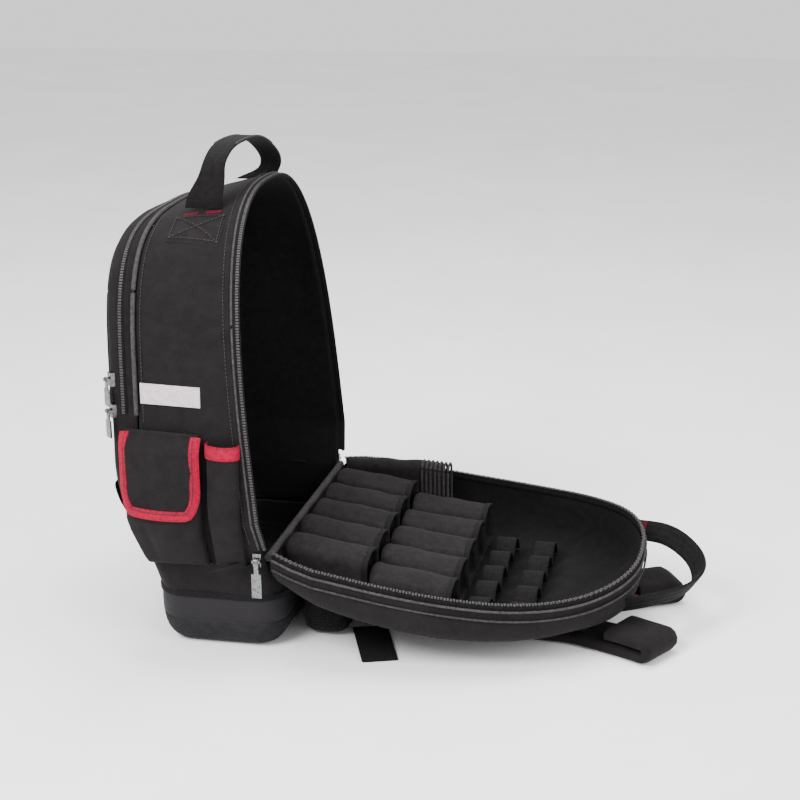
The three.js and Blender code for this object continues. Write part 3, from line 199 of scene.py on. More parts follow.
# %% Cloth, webbing, tape, plastic and metal
def woven(name, dark, light, thread=1.1, depth=0.25, uv=True, rough=0.86, sheen=0.015, patch=9.0, ribs=False):
    made, tree, shader, place = new_material(name)
    flat = node(tree, "ShaderNodeSeparateXYZ", {"Vector": place["UV" if uv else "Object"]})
    one = flat.outputs["X"]
    two = flat.outputs["Y"] if uv else maths(tree, "ADD", flat.outputs["Y"], flat.outputs["Z"])
    warp = waves(tree, one, thread)
    weft = waves(tree, two, thread * (2.2 if ribs else 1.0))
    if ribs:
        weave = maths(tree, "ADD", warp, maths(tree, "MULTIPLY", weft, 0.35))
    else:
        weave = maths(tree, "MULTIPLY", warp, weft)
    patches = mottled(tree, shader, dark, light, patch, place["Object"])
    grit = clouds(tree, place["Object"], 1.6, 3.0)
    height = maths(tree, "ADD", weave, maths(tree, "MULTIPLY", grit, 0.9))
    bump(tree, shader, height, depth)
    tree.links.new(scaled(tree, patches, 0.14, rough - 0.07), shader.inputs["Roughness"])
    shader.inputs["Sheen Weight"].default_value = sheen
    shader.inputs["Sheen Roughness"].default_value = 0.5
    shader.inputs["Specular IOR Level"].default_value = 0.1
    return made


def moulded(name, dark, light, edge_z, smooth_light):
    """Plastic with a pebbled lower part and a smoother, lighter band above edge_z mm."""
    made, tree, shader, place = new_material(name)
    height = node(tree, "ShaderNodeSeparateXYZ", {"Vector": place["Object"]}).outputs["Z"]
    above = maths(tree, "SUBTRACT", height, (edge_z - 1) * MM)
    above = maths(tree, "MULTIPLY", above, 1 / (2 * MM), clamp=True)
    grain = node(tree, "ShaderNodeTexVoronoi", {"Vector": place["Object"]}, Scale=1 / (2.4 * MM))
    low = mixed(tree, clouds(tree, place["Object"], 14, 5.0), colour(dark), colour(light))
    tree.links.new(mixed(tree, above, low, colour(smooth_light)), shader.inputs["Base Color"])
    rough_part = maths(tree, "SUBTRACT", 1.0, maths(tree, "MULTIPLY", above, 0.82))
    bump(tree, shader, maths(tree, "MULTIPLY", grain.outputs["Distance"], rough_part), 1.1)
    tree.links.new(scaled(tree, rough_part, 0.2, 0.58), shader.inputs["Roughness"])
    shader.inputs["Specular IOR Level"].default_value = 0.16
    return made


def cast_metal(name, dark, light):
    made, tree, shader, place = new_material(name)
    wear = mottled(tree, shader, dark, light, 3.0, place["Object"], (0.3, 0.55))
    shader.inputs["Metallic"].default_value = 1.0
    tree.links.new(scaled(tree, wear, 0.25, 0.18), shader.inputs["Roughness"])
    bump(tree, shader, wear, 0.05)
    return made


# Real threads are about half a millimetre wide. They are drawn five times as coarse, so that they show.
oxford = woven("polyester_oxford_weave", "#121011", "#1a1718", thread=2.6, patch=14.0)
oxford_dark = woven("polyester_lining", "#0a0909", "#121011", thread=2.2, depth=0.15)
oxford_grey = woven("brushed_polyester", "#151313", "#201d1e", thread=2.4, patch=8.0)
webbing = woven("nylon_webbing", "#0c0b0b", "#161415", thread=2.8, depth=0.35, ribs=True, patch=5.0)
red_webbing = woven("red_nylon_webbing", "#7c0823", "#930d30", thread=1.4, depth=0.3, ribs=True, patch=4.0)
thread_red = woven(
    "dark_red_thread", "#3c0a16", "#611426", thread=1.2, depth=0.5, uv=False, ribs=True, patch=2.0)
grey_tape = woven("grey_woven_tape", "#242223", "#3e3b3c", thread=0.9, depth=0.2, ribs=True, patch=3.0)
pale_cord = woven("pale_piping_cloth", "#2a2829", "#454243", thread=0.9, depth=0.2, patch=3.0)
coil = woven("nylon_zip_coil", "#2e2c2d", "#4a4748", thread=2.0, depth=0.2, rough=0.5, sheen=0.0, patch=2.0)
label_film = woven(
    "light_woven_label", "#b0a3a9", "#c9bec2", thread=0.8, depth=0.1, uv=False, rough=0.6, patch=5.0)
air_mesh = woven("air_mesh_knit", "#0b0a0a", "#161415", thread=3.2, depth=0.9, uv=False, patch=5.0)
tub_plastic = moulded("moulded_rubbery_plastic", "#080708", "#242225", 31, "#1b191c")
metal = cast_metal("die_cast_metal", "#39393c", "#77777a")
stitch_thread = woven(
    "polyester_sewing_thread", "#262324", "#3b3738", thread=0.8, uv=False, rough=0.6, patch=2.0)
print(len(bpy.data.materials), "materials")

# %% [markdown]
# ## Making a cloth piece
# bmesh's own grid gives the points. A function moves each point onto the surface, and the UV is stretched to
# the cloth's real size so that the weave keeps one scale everywhere.


# %% Grid, folds and finishing
MERGE = 1e-5
SHARP = math.radians(48)
SPAN_STEPS = 8


def lerp(a, b, t):
    return a + (b - a) * t


def clamp(value, low=0.0, high=1.0):
    return max(low, min(high, value))


def grid(bm, surface, columns, rows, size):
    """Adds a grid whose point at (u, v) lies at surface(u, v), in mm. size is the cloth's size in mm."""
    layer = bm.loops.layers.uv.verify()
    made = bmesh.ops.create_grid(bm, x_segments=columns, y_segments=rows, size=0.5, calc_uvs=False)["verts"]
    share = {v: (v.co.x + 0.5, v.co.y + 0.5) for v in made}
    for face in {f for v in made for f in v.link_faces}:
        for loop in face.loops:
            u, v = share[loop.vert]
            loop[layer].uv = (u * size[0] * MM, v * size[1] * MM)
    for v, (a, b) in share.items():
        v.co = Vector(surface(a, b)) * MM
    return made


def crease(bm, a, b, width, depth, only=None):
    """Presses a soft fold along the line from a to b, all in mm. A negative depth raises it."""
    bm.normal_update()
    a, b = Vector(a) * MM, Vector(b) * MM
    along = b - a
    for v in only or bm.verts:
        t = clamp((v.co - a).dot(along) / along.length_squared)
        away = (v.co - a - along * t).length / (width * MM)
        if away < 2.5:
            v.co -= v.normal * (depth * MM * math.exp(-away * away))


def rumple(bm, size, depth, seed, only=None, freedom=lambda point: 1):
    """Moves points in and out by smooth noise, as in handled cloth, less where freedom is small."""
    bm.normal_update()
    for v in only or bm.verts:
        where = v.co / (size * MM) + Vector((seed, seed * 1.7, seed * 0.3))
        v.co += v.normal * (depth * MM * noise.noise(where) * freedom(v.co / MM))


def press_folds(bm, folds, only=None):
    for fold in folds:
        crease(bm, *fold, only=only)


def merge(bm):
    bmesh.ops.remove_doubles(bm, verts=bm.verts, dist=MERGE)


def turn_out(bm, measure=None):
    """Turns all faces one way, and round again where the measure of the faces adds up to less than 0."""
    bmesh.ops.recalc_face_normals(bm, faces=bm.faces)
    if measure and sum(measure(face) for face in bm.faces) < 0:
        bmesh.ops.reverse_faces(bm, faces=bm.faces)


def close_ends(bm):
    bmesh.ops.holes_fill(bm, edges=[e for e in bm.edges if e.is_boundary], sides=0)


def free_points(bm):
    """The points that aren't on an open edge."""
    return [v for v in bm.verts if not v.is_boundary]


def finish_piece(name, bm, material, nodes, thick=None, inner=None, weld=True):
    """Makes the object, with its thickness and materials, and says which CAD nodes it replaces."""
    if weld:
        merge(bm)
        turn_out(bm)
    for face in bm.faces:
        face.smooth = True
    for edge in bm.edges:
        if len(edge.link_faces) == 2 and edge.calc_face_angle() > SHARP:
            edge.smooth = False
    mesh = bpy.data.meshes.new(name)
    bm.to_mesh(mesh)
    bm.free()
    mesh.materials.append(material)
    if inner:
        mesh.materials.append(inner)
    item = bpy.data.objects.new(name, mesh)
    scene.collection.objects.link(item)
    if thick:
        solid = item.modifiers.new("thickness", "SOLIDIFY")
        solid.thickness = thick * MM
        solid.offset = -1
        solid.use_even_offset = True
        solid.material_offset = 1 if inner else 0
    if nodes:
        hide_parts(*nodes)
    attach(item, "pack")
    print(name, len(mesh.polygons), "faces")
    return item


def keep(names, material):
    """CAD pieces whose shape is right only get a better material."""
    for name in names:
        for place in frame["nodes"][name].material_slots:
            place.material = material


print("tools ready")

# %% [markdown]
# ## Bands, tubes and teeth
# A band follows points with a width and a thickness. Its section is a flattened round, so its edges are soft.


# %% Bands along a path
def spaced(points, step):
    """The same path with points a step apart, in mm."""
    points = [Vector(p) for p in points]
    lengths = [0.0]
    for p, q in zip(points, points[1:]):
        lengths.append(lengths[-1] + (q - p).length)
    count = max(2, round(lengths[-1] / step))
    out, k = [], 0
    for i in range(count + 1):
        at = lengths[-1] * i / count
        while k < len(points) - 2 and lengths[k + 1] < at:
            k += 1
        span = max(lengths[k + 1] - lengths[k], 1e-9)
        out.append(points[k].lerp(points[k + 1], clamp((at - lengths[k]) / span)))
    return out


def catmull(a, b, c, d, t):
    """A smooth way from b to c, steered by the neighbours a and d."""
    return 0.5 * (2 * b + (c - a) * t + (2 * a - 5 * b + 4 * c - d) * t * t + (3 * b - a - 3 * c + d) * t**3)


def smooth_path(points):
    """A Catmull-Rom curve through the points."""
    p = [Vector(q) for q in points]
    out = []
    for i in range(len(p) - 1):
        near = p[max(i - 1, 0)], p[i], p[i + 1], p[min(i + 2, len(p) - 1)]
        out += [catmull(*near, k / SPAN_STEPS) for k in range(SPAN_STEPS)]
    return out + [p[-1]]


def band(bm, points, across, width, thick, around, flat):
    """A flat strap. across is its side way, or a function of (point, tangent). A low flat is boxier."""
    ways = []
    for i, p in enumerate(points):
        tangent = (points[min(i + 1, len(points) - 1)] - points[max(i - 1, 0)]).normalized()
        side = Vector(across(p, tangent) if callable(across) else across).normalized()
        ways.append((p, side, tangent.cross(side).normalized()))
    wide = width if callable(width) else lambda t: width

    def surface(u, v):
        i = min(round(v * (len(points) - 1)), len(points) - 1)
        p, side, up = ways[i]
        c, s = math.cos(2 * math.pi * u), math.sin(2 * math.pi * u)
        x = math.copysign(abs(c) ** flat, c) * wide(v) / 2
        y = math.copysign(abs(s) ** flat, s) * thick / 2
        return p + side * x + up * y

    length = sum((q - p).length for p, q in zip(points, points[1:]))
    made = grid(bm, surface, around, len(points) - 1, (2 * wide(0.5), length))
    bmesh.ops.remove_doubles(bm, verts=made, dist=1e-6)
    close_ends(bm)


def tube(bm, points, radius, around=8):
    """A round cord. Its section turns with the path, so that it never twists."""
    def across(p, tangent):
        return tangent.cross(Vector((0, 0, 1) if abs(tangent.z) < 0.95 else (0, 1, 0)))

    band(bm, points, across, 2 * radius, 2 * radius, around, 1.0)


def teeth(bm, points, normal, side, size, pitch):
    """A chain of small blocks along the path, alternately to each side."""
    row = spaced(points, pitch)
    for i, p in enumerate(row):
        tangent = (row[min(i + 1, len(row) - 1)] - row[max(i - 1, 0)]).normalized()
        out = Vector(normal(p)).normalized()
        cross = out.cross(tangent).normalized()
        turn = Matrix((tangent, cross, tangent.cross(cross))).transposed().to_4x4()
        place = Matrix.Translation((p + cross * side * (-1) ** i) * MM) @ turn
        scale = Matrix.Diagonal((size[0] * MM, size[1] * MM, size[2] * MM, 1))
        bmesh.ops.create_cube(bm, size=1, matrix=place @ scale)


STITCH, STITCH_PITCH = (2.8, 0.9, 0.7), 4.2


def stitches(name, rows, normal):
    """Rows of sewing thread: short dashes that lie on the cloth."""
    bm = bmesh.new()
    for row in rows:
        teeth(bm, row, normal, 0, STITCH, STITCH_PITCH)
    finish_piece(name, bm, stitch_thread, [], weld=False)


def zip_coil(name, points, normal, side, size, pitch):
    bm = bmesh.new()
    teeth(bm, points, normal, side, size, pitch)
    finish_piece(name, bm, coil, [])


def band_piece(name, points, across, width, thick, material, nodes=(), around=12, flat=0.4):
    bm = bmesh.new()
    band(bm, points, across, width, thick, around, flat)
    finish_piece(name, bm, material, nodes)


def tube_piece(name, points, radius, material, nodes=()):
    bm = bmesh.new()
    tube(bm, points, radius)
    finish_piece(name, bm, material, nodes)


print("bands ready")

# %% [markdown]
# ## The body's surface
# The half outline climbs from the tub, widens to its fullest, and closes in an arch. s runs from 0 at the
# front wall to 1 at the opening.

# %% Body outline
TUB = Sizes(depth=146, half=158, height=62, corner=34, wall=4, floor=7, foot=22)
FRONT_X, HINGE_X, LEAN = -76, 57, 0.095
HINGE_Z, FULL_Z = 111, 160
HINGE_HALF = 168
BULGE, SHOULDER, CREST, SQUARE = (178, 191), (300, 190), (472, 500), (3.6, 2.62)
CREST_ANGLE = 0.985 * math.pi / 2
FRONT_CORNER = 10
LOW, MID, HIGH, ARCH = 7, 6, 10, 30
STATIONS = LOW + MID + HIGH + ARCH


def front_x(z):
    return lerp(-TUB.depth / 2, FRONT_X, clamp((z - TUB.height) / (HINGE_Z - TUB.height)))


def opening_x(z):
    if z < HINGE_Z:
        return lerp(TUB.depth / 2, HINGE_X, (z - TUB.height) / (HINGE_Z - TUB.height))
    return HINGE_X - LEAN * (z - HINGE_Z)


def half_width(z, s):
    bulge = lerp(*BULGE, s)
    if z < HINGE_Z:
        return lerp(TUB.half, HINGE_HALF, (z - TUB.height) / (HINGE_Z - TUB.height))
    return lerp(HINGE_HALF, bulge, clamp((z - HINGE_Z) / (FULL_Z - HINGE_Z)))


def station(s, i, bottom=None):
    """(half width, height) at station i of the outline at s."""
    low = TUB.height if bottom is None else bottom
    bulge, shoulder, crest = lerp(*BULGE, s), lerp(*SHOULDER, s), lerp(*CREST, s)
    power = 2 / lerp(*SQUARE, s)
    if i <= LOW + MID + HIGH:
        if i <= LOW:
            z = lerp(low, max(HINGE_Z, low), i / LOW)
        elif i <= LOW + MID:
            z = lerp(max(HINGE_Z, low), max(FULL_Z, low), (i - LOW) / MID)
        else:
            z = lerp(max(FULL_Z, low), max(shoulder, low), (i - LOW - MID) / HIGH)
        return half_width(z, s), z
    angle = CREST_ANGLE * (i - LOW - MID - HIGH) / ARCH
    return bulge * math.cos(angle) ** power, shoulder + (crest - shoulder) * math.sin(angle) ** power


def inset_station(s, i, distance, bottom=None):
    y, z = station(s, i, bottom)
    y0, z0 = station(s, max(i - 1, 0), bottom)
    y1, z1 = station(s, i + 1, bottom) if i < STATIONS else (-y, z)
    length = math.hypot(y1 - y0, z1 - z0) or 1
    return y - distance * (z1 - z0) / length, z + distance * (y1 - y0) / length


def round_in(distance, radius):
    if distance >= radius:
        return 0
    return radius - math.sqrt(max(radius**2 - (radius - distance) ** 2, 0))


def outline_at(x, z_wanted):
    """Half width of the side wall at (x, z)."""
    s = clamp((x - front_x(z_wanted)) / (opening_x(z_wanted) - front_x(z_wanted)))
    before = station(s, 0)
    for i in range(1, STATIONS + 1):
        here = station(s, i)
        if z_wanted <= here[1]:
            return lerp(before[0], here[0], (z_wanted - before[1]) / max(here[1] - before[1], 1e-6))
        before = here
    return 0


def body_point(side, i, s):
    z = station(s, i)[1]
    x = lerp(front_x(z), opening_x(z), s)
    low = clamp((HINGE_Z - z) / (HINGE_Z - TUB.height))
    front_round = round_in(x - front_x(z), lerp(FRONT_CORNER, TUB.corner, low))
    y, z = inset_station(s, i, max(front_round, round_in(opening_x(z) - x, TUB.corner * low)))
    return side * y, x, z


def mirrored(k, last):
    """Side and station at step k of a way up one side and down the other."""
    return (-1, k) if k <= last else (1, 2 * last - k)


def body_side(u, s):
    y, x, z = body_point(*mirrored(round(u * 2 * STATIONS), STATIONS), s)
    return x, y, z


def across_wall(s, rows):
    def surface(u, v):
        y, x, z = body_point(-1, round(v * rows), s)
        return x, lerp(y, -y, u), z

    return surface


ON_BODY = [
    "label_plate", "flap_pocket", "slot_pocket", "far_pocket", "handle_patch_near", "handle_patch_far",
    "top_handle"]
on_body = [[Vector(corner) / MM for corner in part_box(name)] for name in ON_BODY]
HELD_EDGE, EDGE_FADE, SEWN_FADE = 5, 18, 14


def freedom(p):
    """0 under the pieces that are sewn to the body and at its edges, 1 in open cloth."""
    share = clamp((min(p.x - front_x(p.z), opening_x(p.z) - p.x) - HELD_EDGE) / EDGE_FADE)
    for low, high in on_body:
        away = Vector([max(low[k] - p[k], p[k] - high[k], 0) for k in range(3)]).length
        share *= clamp(away / SEWN_FADE)
    return share


DEPTH_ROWS, CLOSE_SHARE = 26, 0.25
BODY_FOLDS = [
    ((3, -190, 118), (4, -192, 258), 5, 1.6), ((-60, -184, 330), (30, -180, 352), 14, 1.8),
    ((-30, -178, 398), (34, -150, 420), 12, 1.6), ((-40, 180, 330), (30, 182, 300), 14, 2.0),
    ((44, -178, 150), (12, -192, 186), 9, 1.6)]


def close_rows(v):
    """Sets the rows closer together at the front edge."""
    return v if v > CLOSE_SHARE else CLOSE_SHARE * (v / CLOSE_SHARE) ** 1.6


bm = bmesh.new()
grid(bm, lambda u, v: body_side(u, close_rows(v)), 2 * STATIONS, DEPTH_ROWS, (1250, 130))
grid(bm, across_wall(0, STATIONS), 18, STATIONS, (350, 400))
grid(bm, across_wall(1, LOW), 18, LOW, (330, 50))
merge(bm)
turn_out(bm, lambda face: face.normal.dot(face.calc_center_median() - Vector((0, 0, 0.25))))
rumple(bm, 95, 3.4, 2.0, freedom=freedom)
rumple(bm, 34, 1.0, 5.0, freedom=freedom)
press_folds(bm, BODY_FOLDS)
finish_piece("body_cloth", bm, oxford, ["body_shell"], thick=3, inner=oxford_dark, weld=False)

# %% [markdown]
# ## Moulded tub
# Rings of a rounded rectangle climb the outside, turn over the rim and go down to the floor inside.

# %% Tub
TUB_ROUND = [(0, 1), (0.05, 0.66), (0.15, 0.36), (0.3, 0.15), (0.5, 0.04), (0.72, 0), (1, 0)]


def tub_inset(z):
    share = clamp(z / TUB.height)
    for (h0, a), (h1, b) in zip(TUB_ROUND, TUB_ROUND[1:]):
        if share <= h1:
            return TUB.foot * lerp(a, b, (share - h0) / (h1 - h0))
    return 0


def rounded_rectangle(t, half_x, half_y, corner):
    """Point at share t round a rounded rectangle."""
    corners = [(1, 1), (-1, 1), (-1, -1), (1, -1)]
    k = int(t * 4) % 4
    f = t * 4 - int(t * 4)
    cx, cy = corners[k][0] * (half_x - corner), corners[k][1] * (half_y - corner)
    start = k * math.pi / 2
    if f < 0.6:
        angle = start + (f / 0.6) * math.pi / 2
        return cx + corner * math.cos(angle), cy + corner * math.sin(angle)
    nx, ny = corners[(k + 1) % 4][0] * (half_x - corner), corners[(k + 1) % 4][1] * (half_y - corner)
    angle = start + math.pi / 2
    g = (f - 0.6) / 0.4
    return lerp(cx, nx, g) + corner * math.cos(angle), lerp(cy, ny, g) + corner * math.sin(angle)


GROOVE_Z, GROOVE_DEPTH = (31, 33), 0.9
TUB_STEPS = 80
top = TUB.height - 0.4
tub_rings = [(0, 60), (0, 30), (0, 8), (0, 0.8)]
tub_rings += [(z, 0) for z in (0.6, 2, 4, 7, 11, 16, 22, 30, 31.5, 33, 40, 50, 58)]
tub_rings += [(top - 0.8, 0.1), (top, 0.9), (top, TUB.wall - 0.9), (top - 0.8, TUB.wall)]
tub_rings += [(z, TUB.wall) for z in (50, 40, 30, 20, 12, 8.5)]
tub_rings += [(TUB.floor, 7), (TUB.floor, 30), (TUB.floor, 60)]


def tub_surface(u, v):
    z, cut = tub_rings[round(v * (len(tub_rings) - 1))]
    groove = GROOVE_DEPTH if GROOVE_Z[0] < z < GROOVE_Z[1] and cut == 0 else 0
    cut += tub_inset(z) + groove
    corner = max(TUB.corner - cut * 0.9, 3)
    x, y = rounded_rectangle(u, TUB.depth / 2 - cut, TUB.half - cut, corner)
    return x, y, z


bm = bmesh.new()
grid(bm, tub_surface, TUB_STEPS, len(tub_rings) - 1, (900, 200))
merge(bm)
close_ends(bm)
finish_piece("moulded_tub", bm, tub_plastic, ["base_tub"])

SEAM = Sizes(out=0.4, up=0.8, width=8, thick=2.6)
seam = []
for k in range(TUB_STEPS + 1):
    x, y = rounded_rectangle(
        k / TUB_STEPS, TUB.depth / 2 + SEAM.out, TUB.half + SEAM.out, TUB.corner)
    seam.append(Vector((x, y, TUB.height + SEAM.up)))
band_piece("tub_seam_band", seam, (0, 0, 1), SEAM.width, SEAM.thick, webbing, around=10, flat=0.5)

# %% [markdown]
# ## Front compartment, its zip and the piping
# A table of sections gives how far each stands out and how far it is drawn in, as shares of the whole.

# %% Front compartment
COMPARTMENT = Sizes(depth=36, bottom=108, rise=78, inset=32, foot=14, fillet=22, clear=0.4)
SECTIONS = [
    (0, 0.155, 0), (0.25, 0.14, 0.2), (0.55, 0.155, 0.52), (0.78, 0.25, 0.72), (0.92, 0.53, 0.88), (1, 1, 1)]


def eased(rows, t):
    """The row at share t of equal steps, joined smoothly."""
    at = clamp(t) * (len(rows) - 1)
    k = min(int(at), len(rows) - 2)
    near = rows[max(k - 1, 0)], rows[k], rows[k + 1], rows[min(k + 2, len(rows) - 1)]
    return [catmull(*column, at - k) for column in zip(*near)]


def compartment_point(side, i, v):
    depth, inset, rise = eased(SECTIONS, v)
    bottom = COMPARTMENT.bottom + COMPARTMENT.rise * rise
    y, z = inset_station(0, i, COMPARTMENT.inset * inset, bottom)
    z = max(z, bottom)
    foot = COMPARTMENT.foot * math.exp(-(((z - bottom) / COMPARTMENT.fillet) ** 2))
    clear = COMPARTMENT.clear
    return side * (y - foot), FRONT_X - clear - (COMPARTMENT.depth - clear) * depth, z


def compartment_skin(u, v):
    y, x, z = compartment_point(*mirrored(round(u * 2 * STATIONS), STATIONS), v)
    return x, y, z


def compartment_front(u, v):
    y, x, z = compartment_point(-1, round(v * STATIONS), 1)
    swell = 3.2 * math.sin(math.pi * clamp(u)) * math.sin(math.pi * clamp(v * 0.95 + 0.03))
    return x - swell, lerp(y, -y, u), z


def compartment_under(u, v):
    y, x, z = compartment_point(-1, 0, v)
    return x, lerp(y, -y, u), z


def before(x):
    """The points in front of x mm."""
    return [v for v in bm.verts if v.co.x < x * MM]


bm = bmesh.new()
grid(bm, compartment_skin, 2 * STATIONS, 16, (1150, 60))
grid(bm, compartment_front, 24, STATIONS, (300, 380))
grid(bm, compartment_under, 24, 16, (300, 60))
merge(bm)
turn_out(bm)
axes = {"use_axis_x": True, "use_axis_y": True, "use_axis_z": True}
bmesh.ops.smooth_vert(bm, verts=before(FRONT_X - 3), factor=0.5, **axes)
rumple(bm, 80, 2.0, 7.0, before(FRONT_X - 8))
crease(bm, (-112, -60, 190), (-112, 40, 420), 22, 1.6)
finish_piece("front_panel", bm, oxford, ["front_compartment"], weld=False)

FLAP_TOP = 257
FRONT_ZIP_X = FRONT_X - COMPARTMENT.depth * 0.42


def both_sides(near):
    """The path and its mirror image, joined."""
    return near + [Vector((p.x, -p.y, p.z)) for p in reversed(near)]


def arch_path(s, inset, from_z, x):
    """Points along the outline at s, from one side over the crest to the other."""
    half = [inset_station(s, i, inset) for i in range(STATIONS + 1)]
    return both_sides([Vector((x(z), -y, z)) for y, z in half if z > from_z])


def away_from(height):
    """A function that gives the way out of the arch, seen from this height on its middle line."""
    return lambda p: Vector((0, p.y, p.z - height))


outwards = away_from(260)
zip_path = spaced(arch_path(0, 4.6, FLAP_TOP + 1, lambda z: FRONT_ZIP_X), 4)
band_piece(
    "front_zip_tape_cloth", zip_path, (1, 0, 0), 9, 1.8, webbing, ["front_zip_tape"], flat=0.5)
coil_path = [p + outwards(p).normalized() * 0.9 for p in zip_path]
zip_coil("front_zip_coil", coil_path, outwards, 0, (1.9, 3.6, 1.3), 3.0)
piping_path = spaced(arch_path(0, -0.3, FLAP_TOP + 1, lambda z: FRONT_X + 0.8), 4)
tube_piece("front_edge_piping", piping_path, 2.5, pale_cord, ["front_piping"])

stitches("body_edge_stitching", [
    arch_path(0.06, -0.4, FLAP_TOP + 4, lambda z: front_x(z) + 9),
    arch_path(0.94, -0.4, HINGE_Z + 18, lambda z: opening_x(z) - 9)], outwards)
seam_half = [compartment_point(-1, i, 0.8) for i in range(STATIONS + 1)]
seam_half = [Vector((x, y, z)) for y, x, z in seam_half if z > FLAP_TOP]
tube_piece("front_panel_seam", spaced(both_sides(seam_half), 4), 1.5, webbing)

# %% [markdown]
# ## Side pockets
# Each pocket is one sheet: its middle stands off the wall, its edges turn back to it. Depth is fullest half
# way across, and a soft fillet closes the bottom.

# %% Pockets
POCKET_BOTTOM = 104
FLAP_POCKET = Sizes(x=(-88, -4), top=240, depth=26, taper=20)
SLOT_POCKET = Sizes(x=(6, 40), top=233, depth=14, taper=0)
FAR_POCKET = Sizes(x=(-60, 34), top=233, depth=14, taper=0)


def hump(t, power=0.6):
    return math.sin(math.pi * clamp(t)) ** power


def pocket_depth(pocket, x, z):
    u = (x - pocket.x[0]) / (pocket.x[1] - pocket.x[0])
    v = (z - POCKET_BOTTOM) / (pocket.top - POCKET_BOTTOM)
    return pocket.depth * (0.5 + 0.5 * hump(u)) * (0.35 + 0.65 * math.sqrt(clamp(v / 0.3)))


def pocket_ends(pocket, z):
    t = clamp((FULL_Z - z) / (FULL_Z - POCKET_BOTTOM))
    return pocket.x[0] + pocket.taper * t, pocket.x[1]


POCKET_EDGE, POCKET_FOOT = 0.1, 0.08


def pocket_skin(side, pocket):
    def surface(u, v):
        z = lerp(POCKET_BOTTOM, pocket.top, clamp((v - POCKET_FOOT) / (1 - POCKET_FOOT)))
        x = lerp(*pocket_ends(pocket, z), clamp((u - POCKET_EDGE) / (1 - 2 * POCKET_EDGE)))
        wall = outline_at(clamp(x, FRONT_X, 60), z)
        rise = min(clamp(u / POCKET_EDGE), clamp((1 - u) / POCKET_EDGE), clamp(v / POCKET_FOOT))
        out = pocket_depth(pocket, x, z) * math.sin(rise * math.pi / 2) ** 0.8
        return x, side * (wall + 0.4 + out), z

    return surface


def pocket_piece(name, side, pocket, node_name, folds):
    bm = bmesh.new()
    size = (pocket.x[1] - pocket.x[0] + 40, pocket.top - POCKET_BOTTOM + 20)
    grid(bm, pocket_skin(side, pocket), 44, 44, size)
    turn_out(bm, lambda face: face.normal.y * side)
    free = free_points(bm)
    rumple(bm, 40, 1.6, 3.0 + side, free)
    press_folds(bm, folds, free)
    finish_piece(name, bm, oxford, [node_name], thick=1.8, weld=False)


pocket_piece("flap_pocket_cloth", -1, FLAP_POCKET, "flap_pocket", [
    ((-70, -205, 132), (-20, -208, 124), 7, 1.8), ((-62, -200, 152), (-58, -190, 112), 6, 1.4),
    ((-20, -205, 150), (-14, -195, 112), 6, 1.4)])
pocket_piece("slot_pocket_cloth", -1, SLOT_POCKET, "slot_pocket", [
    ((22, -201, 220), (24, -192, 120), 7, 1.2), ((10, -196, 160), (36, -198, 150), 6, 0.9)])
pocket_piece("far_pocket_cloth", 1, FAR_POCKET, "far_pocket", [
    ((-40, 195, 200), (10, 199, 180), 8, 1.6), ((0, 199, 140), (28, 196, 170), 8, 1.4)])

# %% [markdown]
# ## The flap and its red binding
# The flap hangs from the wall over the pocket. Its lower corners are round, and three soft dents show how
# slack it is.

# %% Flap
FLAP = Sizes(x=(-93, 1), z=(165, 257), corner=0.34, foot=0.56, rise=17)


def flap_ends(z, margin=0.0):
    x0, x1 = FLAP.x
    middle = (x0 + x1) / 2
    share = clamp((z - FLAP.z[0]) / ((FLAP.z[1] - FLAP.z[0]) * FLAP.corner))
    half = (x1 - x0) / 2 * lerp(FLAP.foot, 1, math.sqrt(1 - (1 - share) ** 2))
    return middle - half + margin, middle + half - margin


def flap_y(x, z, lift=0.0):
    hang = clamp((FLAP.z[1] - z) / FLAP.rise)
    inside = clamp(x, *FLAP_POCKET.x)
    out = pocket_depth(FLAP_POCKET, inside, min(z, FLAP_POCKET.top)) * math.sqrt(hang)
    return -(outline_at(clamp(x, FRONT_X, 60), z) + out + 0.6 + lift)


def flap_skin(u, v):
    z = lerp(FLAP.z[0] + 4, FLAP.z[1], v)
    x0, x1 = flap_ends(z, 4)
    x = lerp(x0, x1, u)
    return x, flap_y(x, z, 2.4), z


FLAP_FOLDS = [
    ((-66, -208, 236), (-50, -210, 200), 11, 2.6), ((-24, -208, 240), (-32, -210, 212), 9, 2.0),
    ((-70, -208, 180), (-30, -210, 184), 12, 1.5)]
bm = bmesh.new()
grid(bm, flap_skin, 36, 36, (94, 99))
turn_out(bm, lambda face: -face.normal.y)
free = free_points(bm)
press_folds(bm, FLAP_FOLDS, free)
rumple(bm, 30, 1.3, 4.0, free)
flap_area = sum(f.calc_area() for f in bm.faces)
flap = finish_piece("flap_cloth", bm, oxford, ["pocket_flap"], thick=2.2, weld=False)

BINDING_IN = 6
floor_z = FLAP.z[0] + BINDING_IN
border = []
for k in range(25):
    z = lerp(FLAP.z[1] - 2, floor_z, k / 24)
    border.append(Vector((flap_ends(z, BINDING_IN)[0], 0, z)))
other_side = [Vector((flap_ends(p.z, BINDING_IN)[1], 0, p.z)) for p in reversed(border)]
border += [Vector((lerp(*flap_ends(floor_z, BINDING_IN), k / 16), 0, floor_z)) for k in range(1, 16)]
border += other_side
border = [Vector((p.x, flap_y(p.x, p.z, 1.9), p.z)) for p in spaced(border, 4)]


def along_wall(p, tangent):
    ahead = flap_y(p.x + 3, p.z) - flap_y(p.x - 3, p.z)
    above = flap_y(p.x, min(p.z + 3, FLAP.z[1])) - flap_y(p.x, p.z - 3)
    normal = Vector((ahead / 6, -1, above / 6)).normalized()
    return tangent.cross(normal)


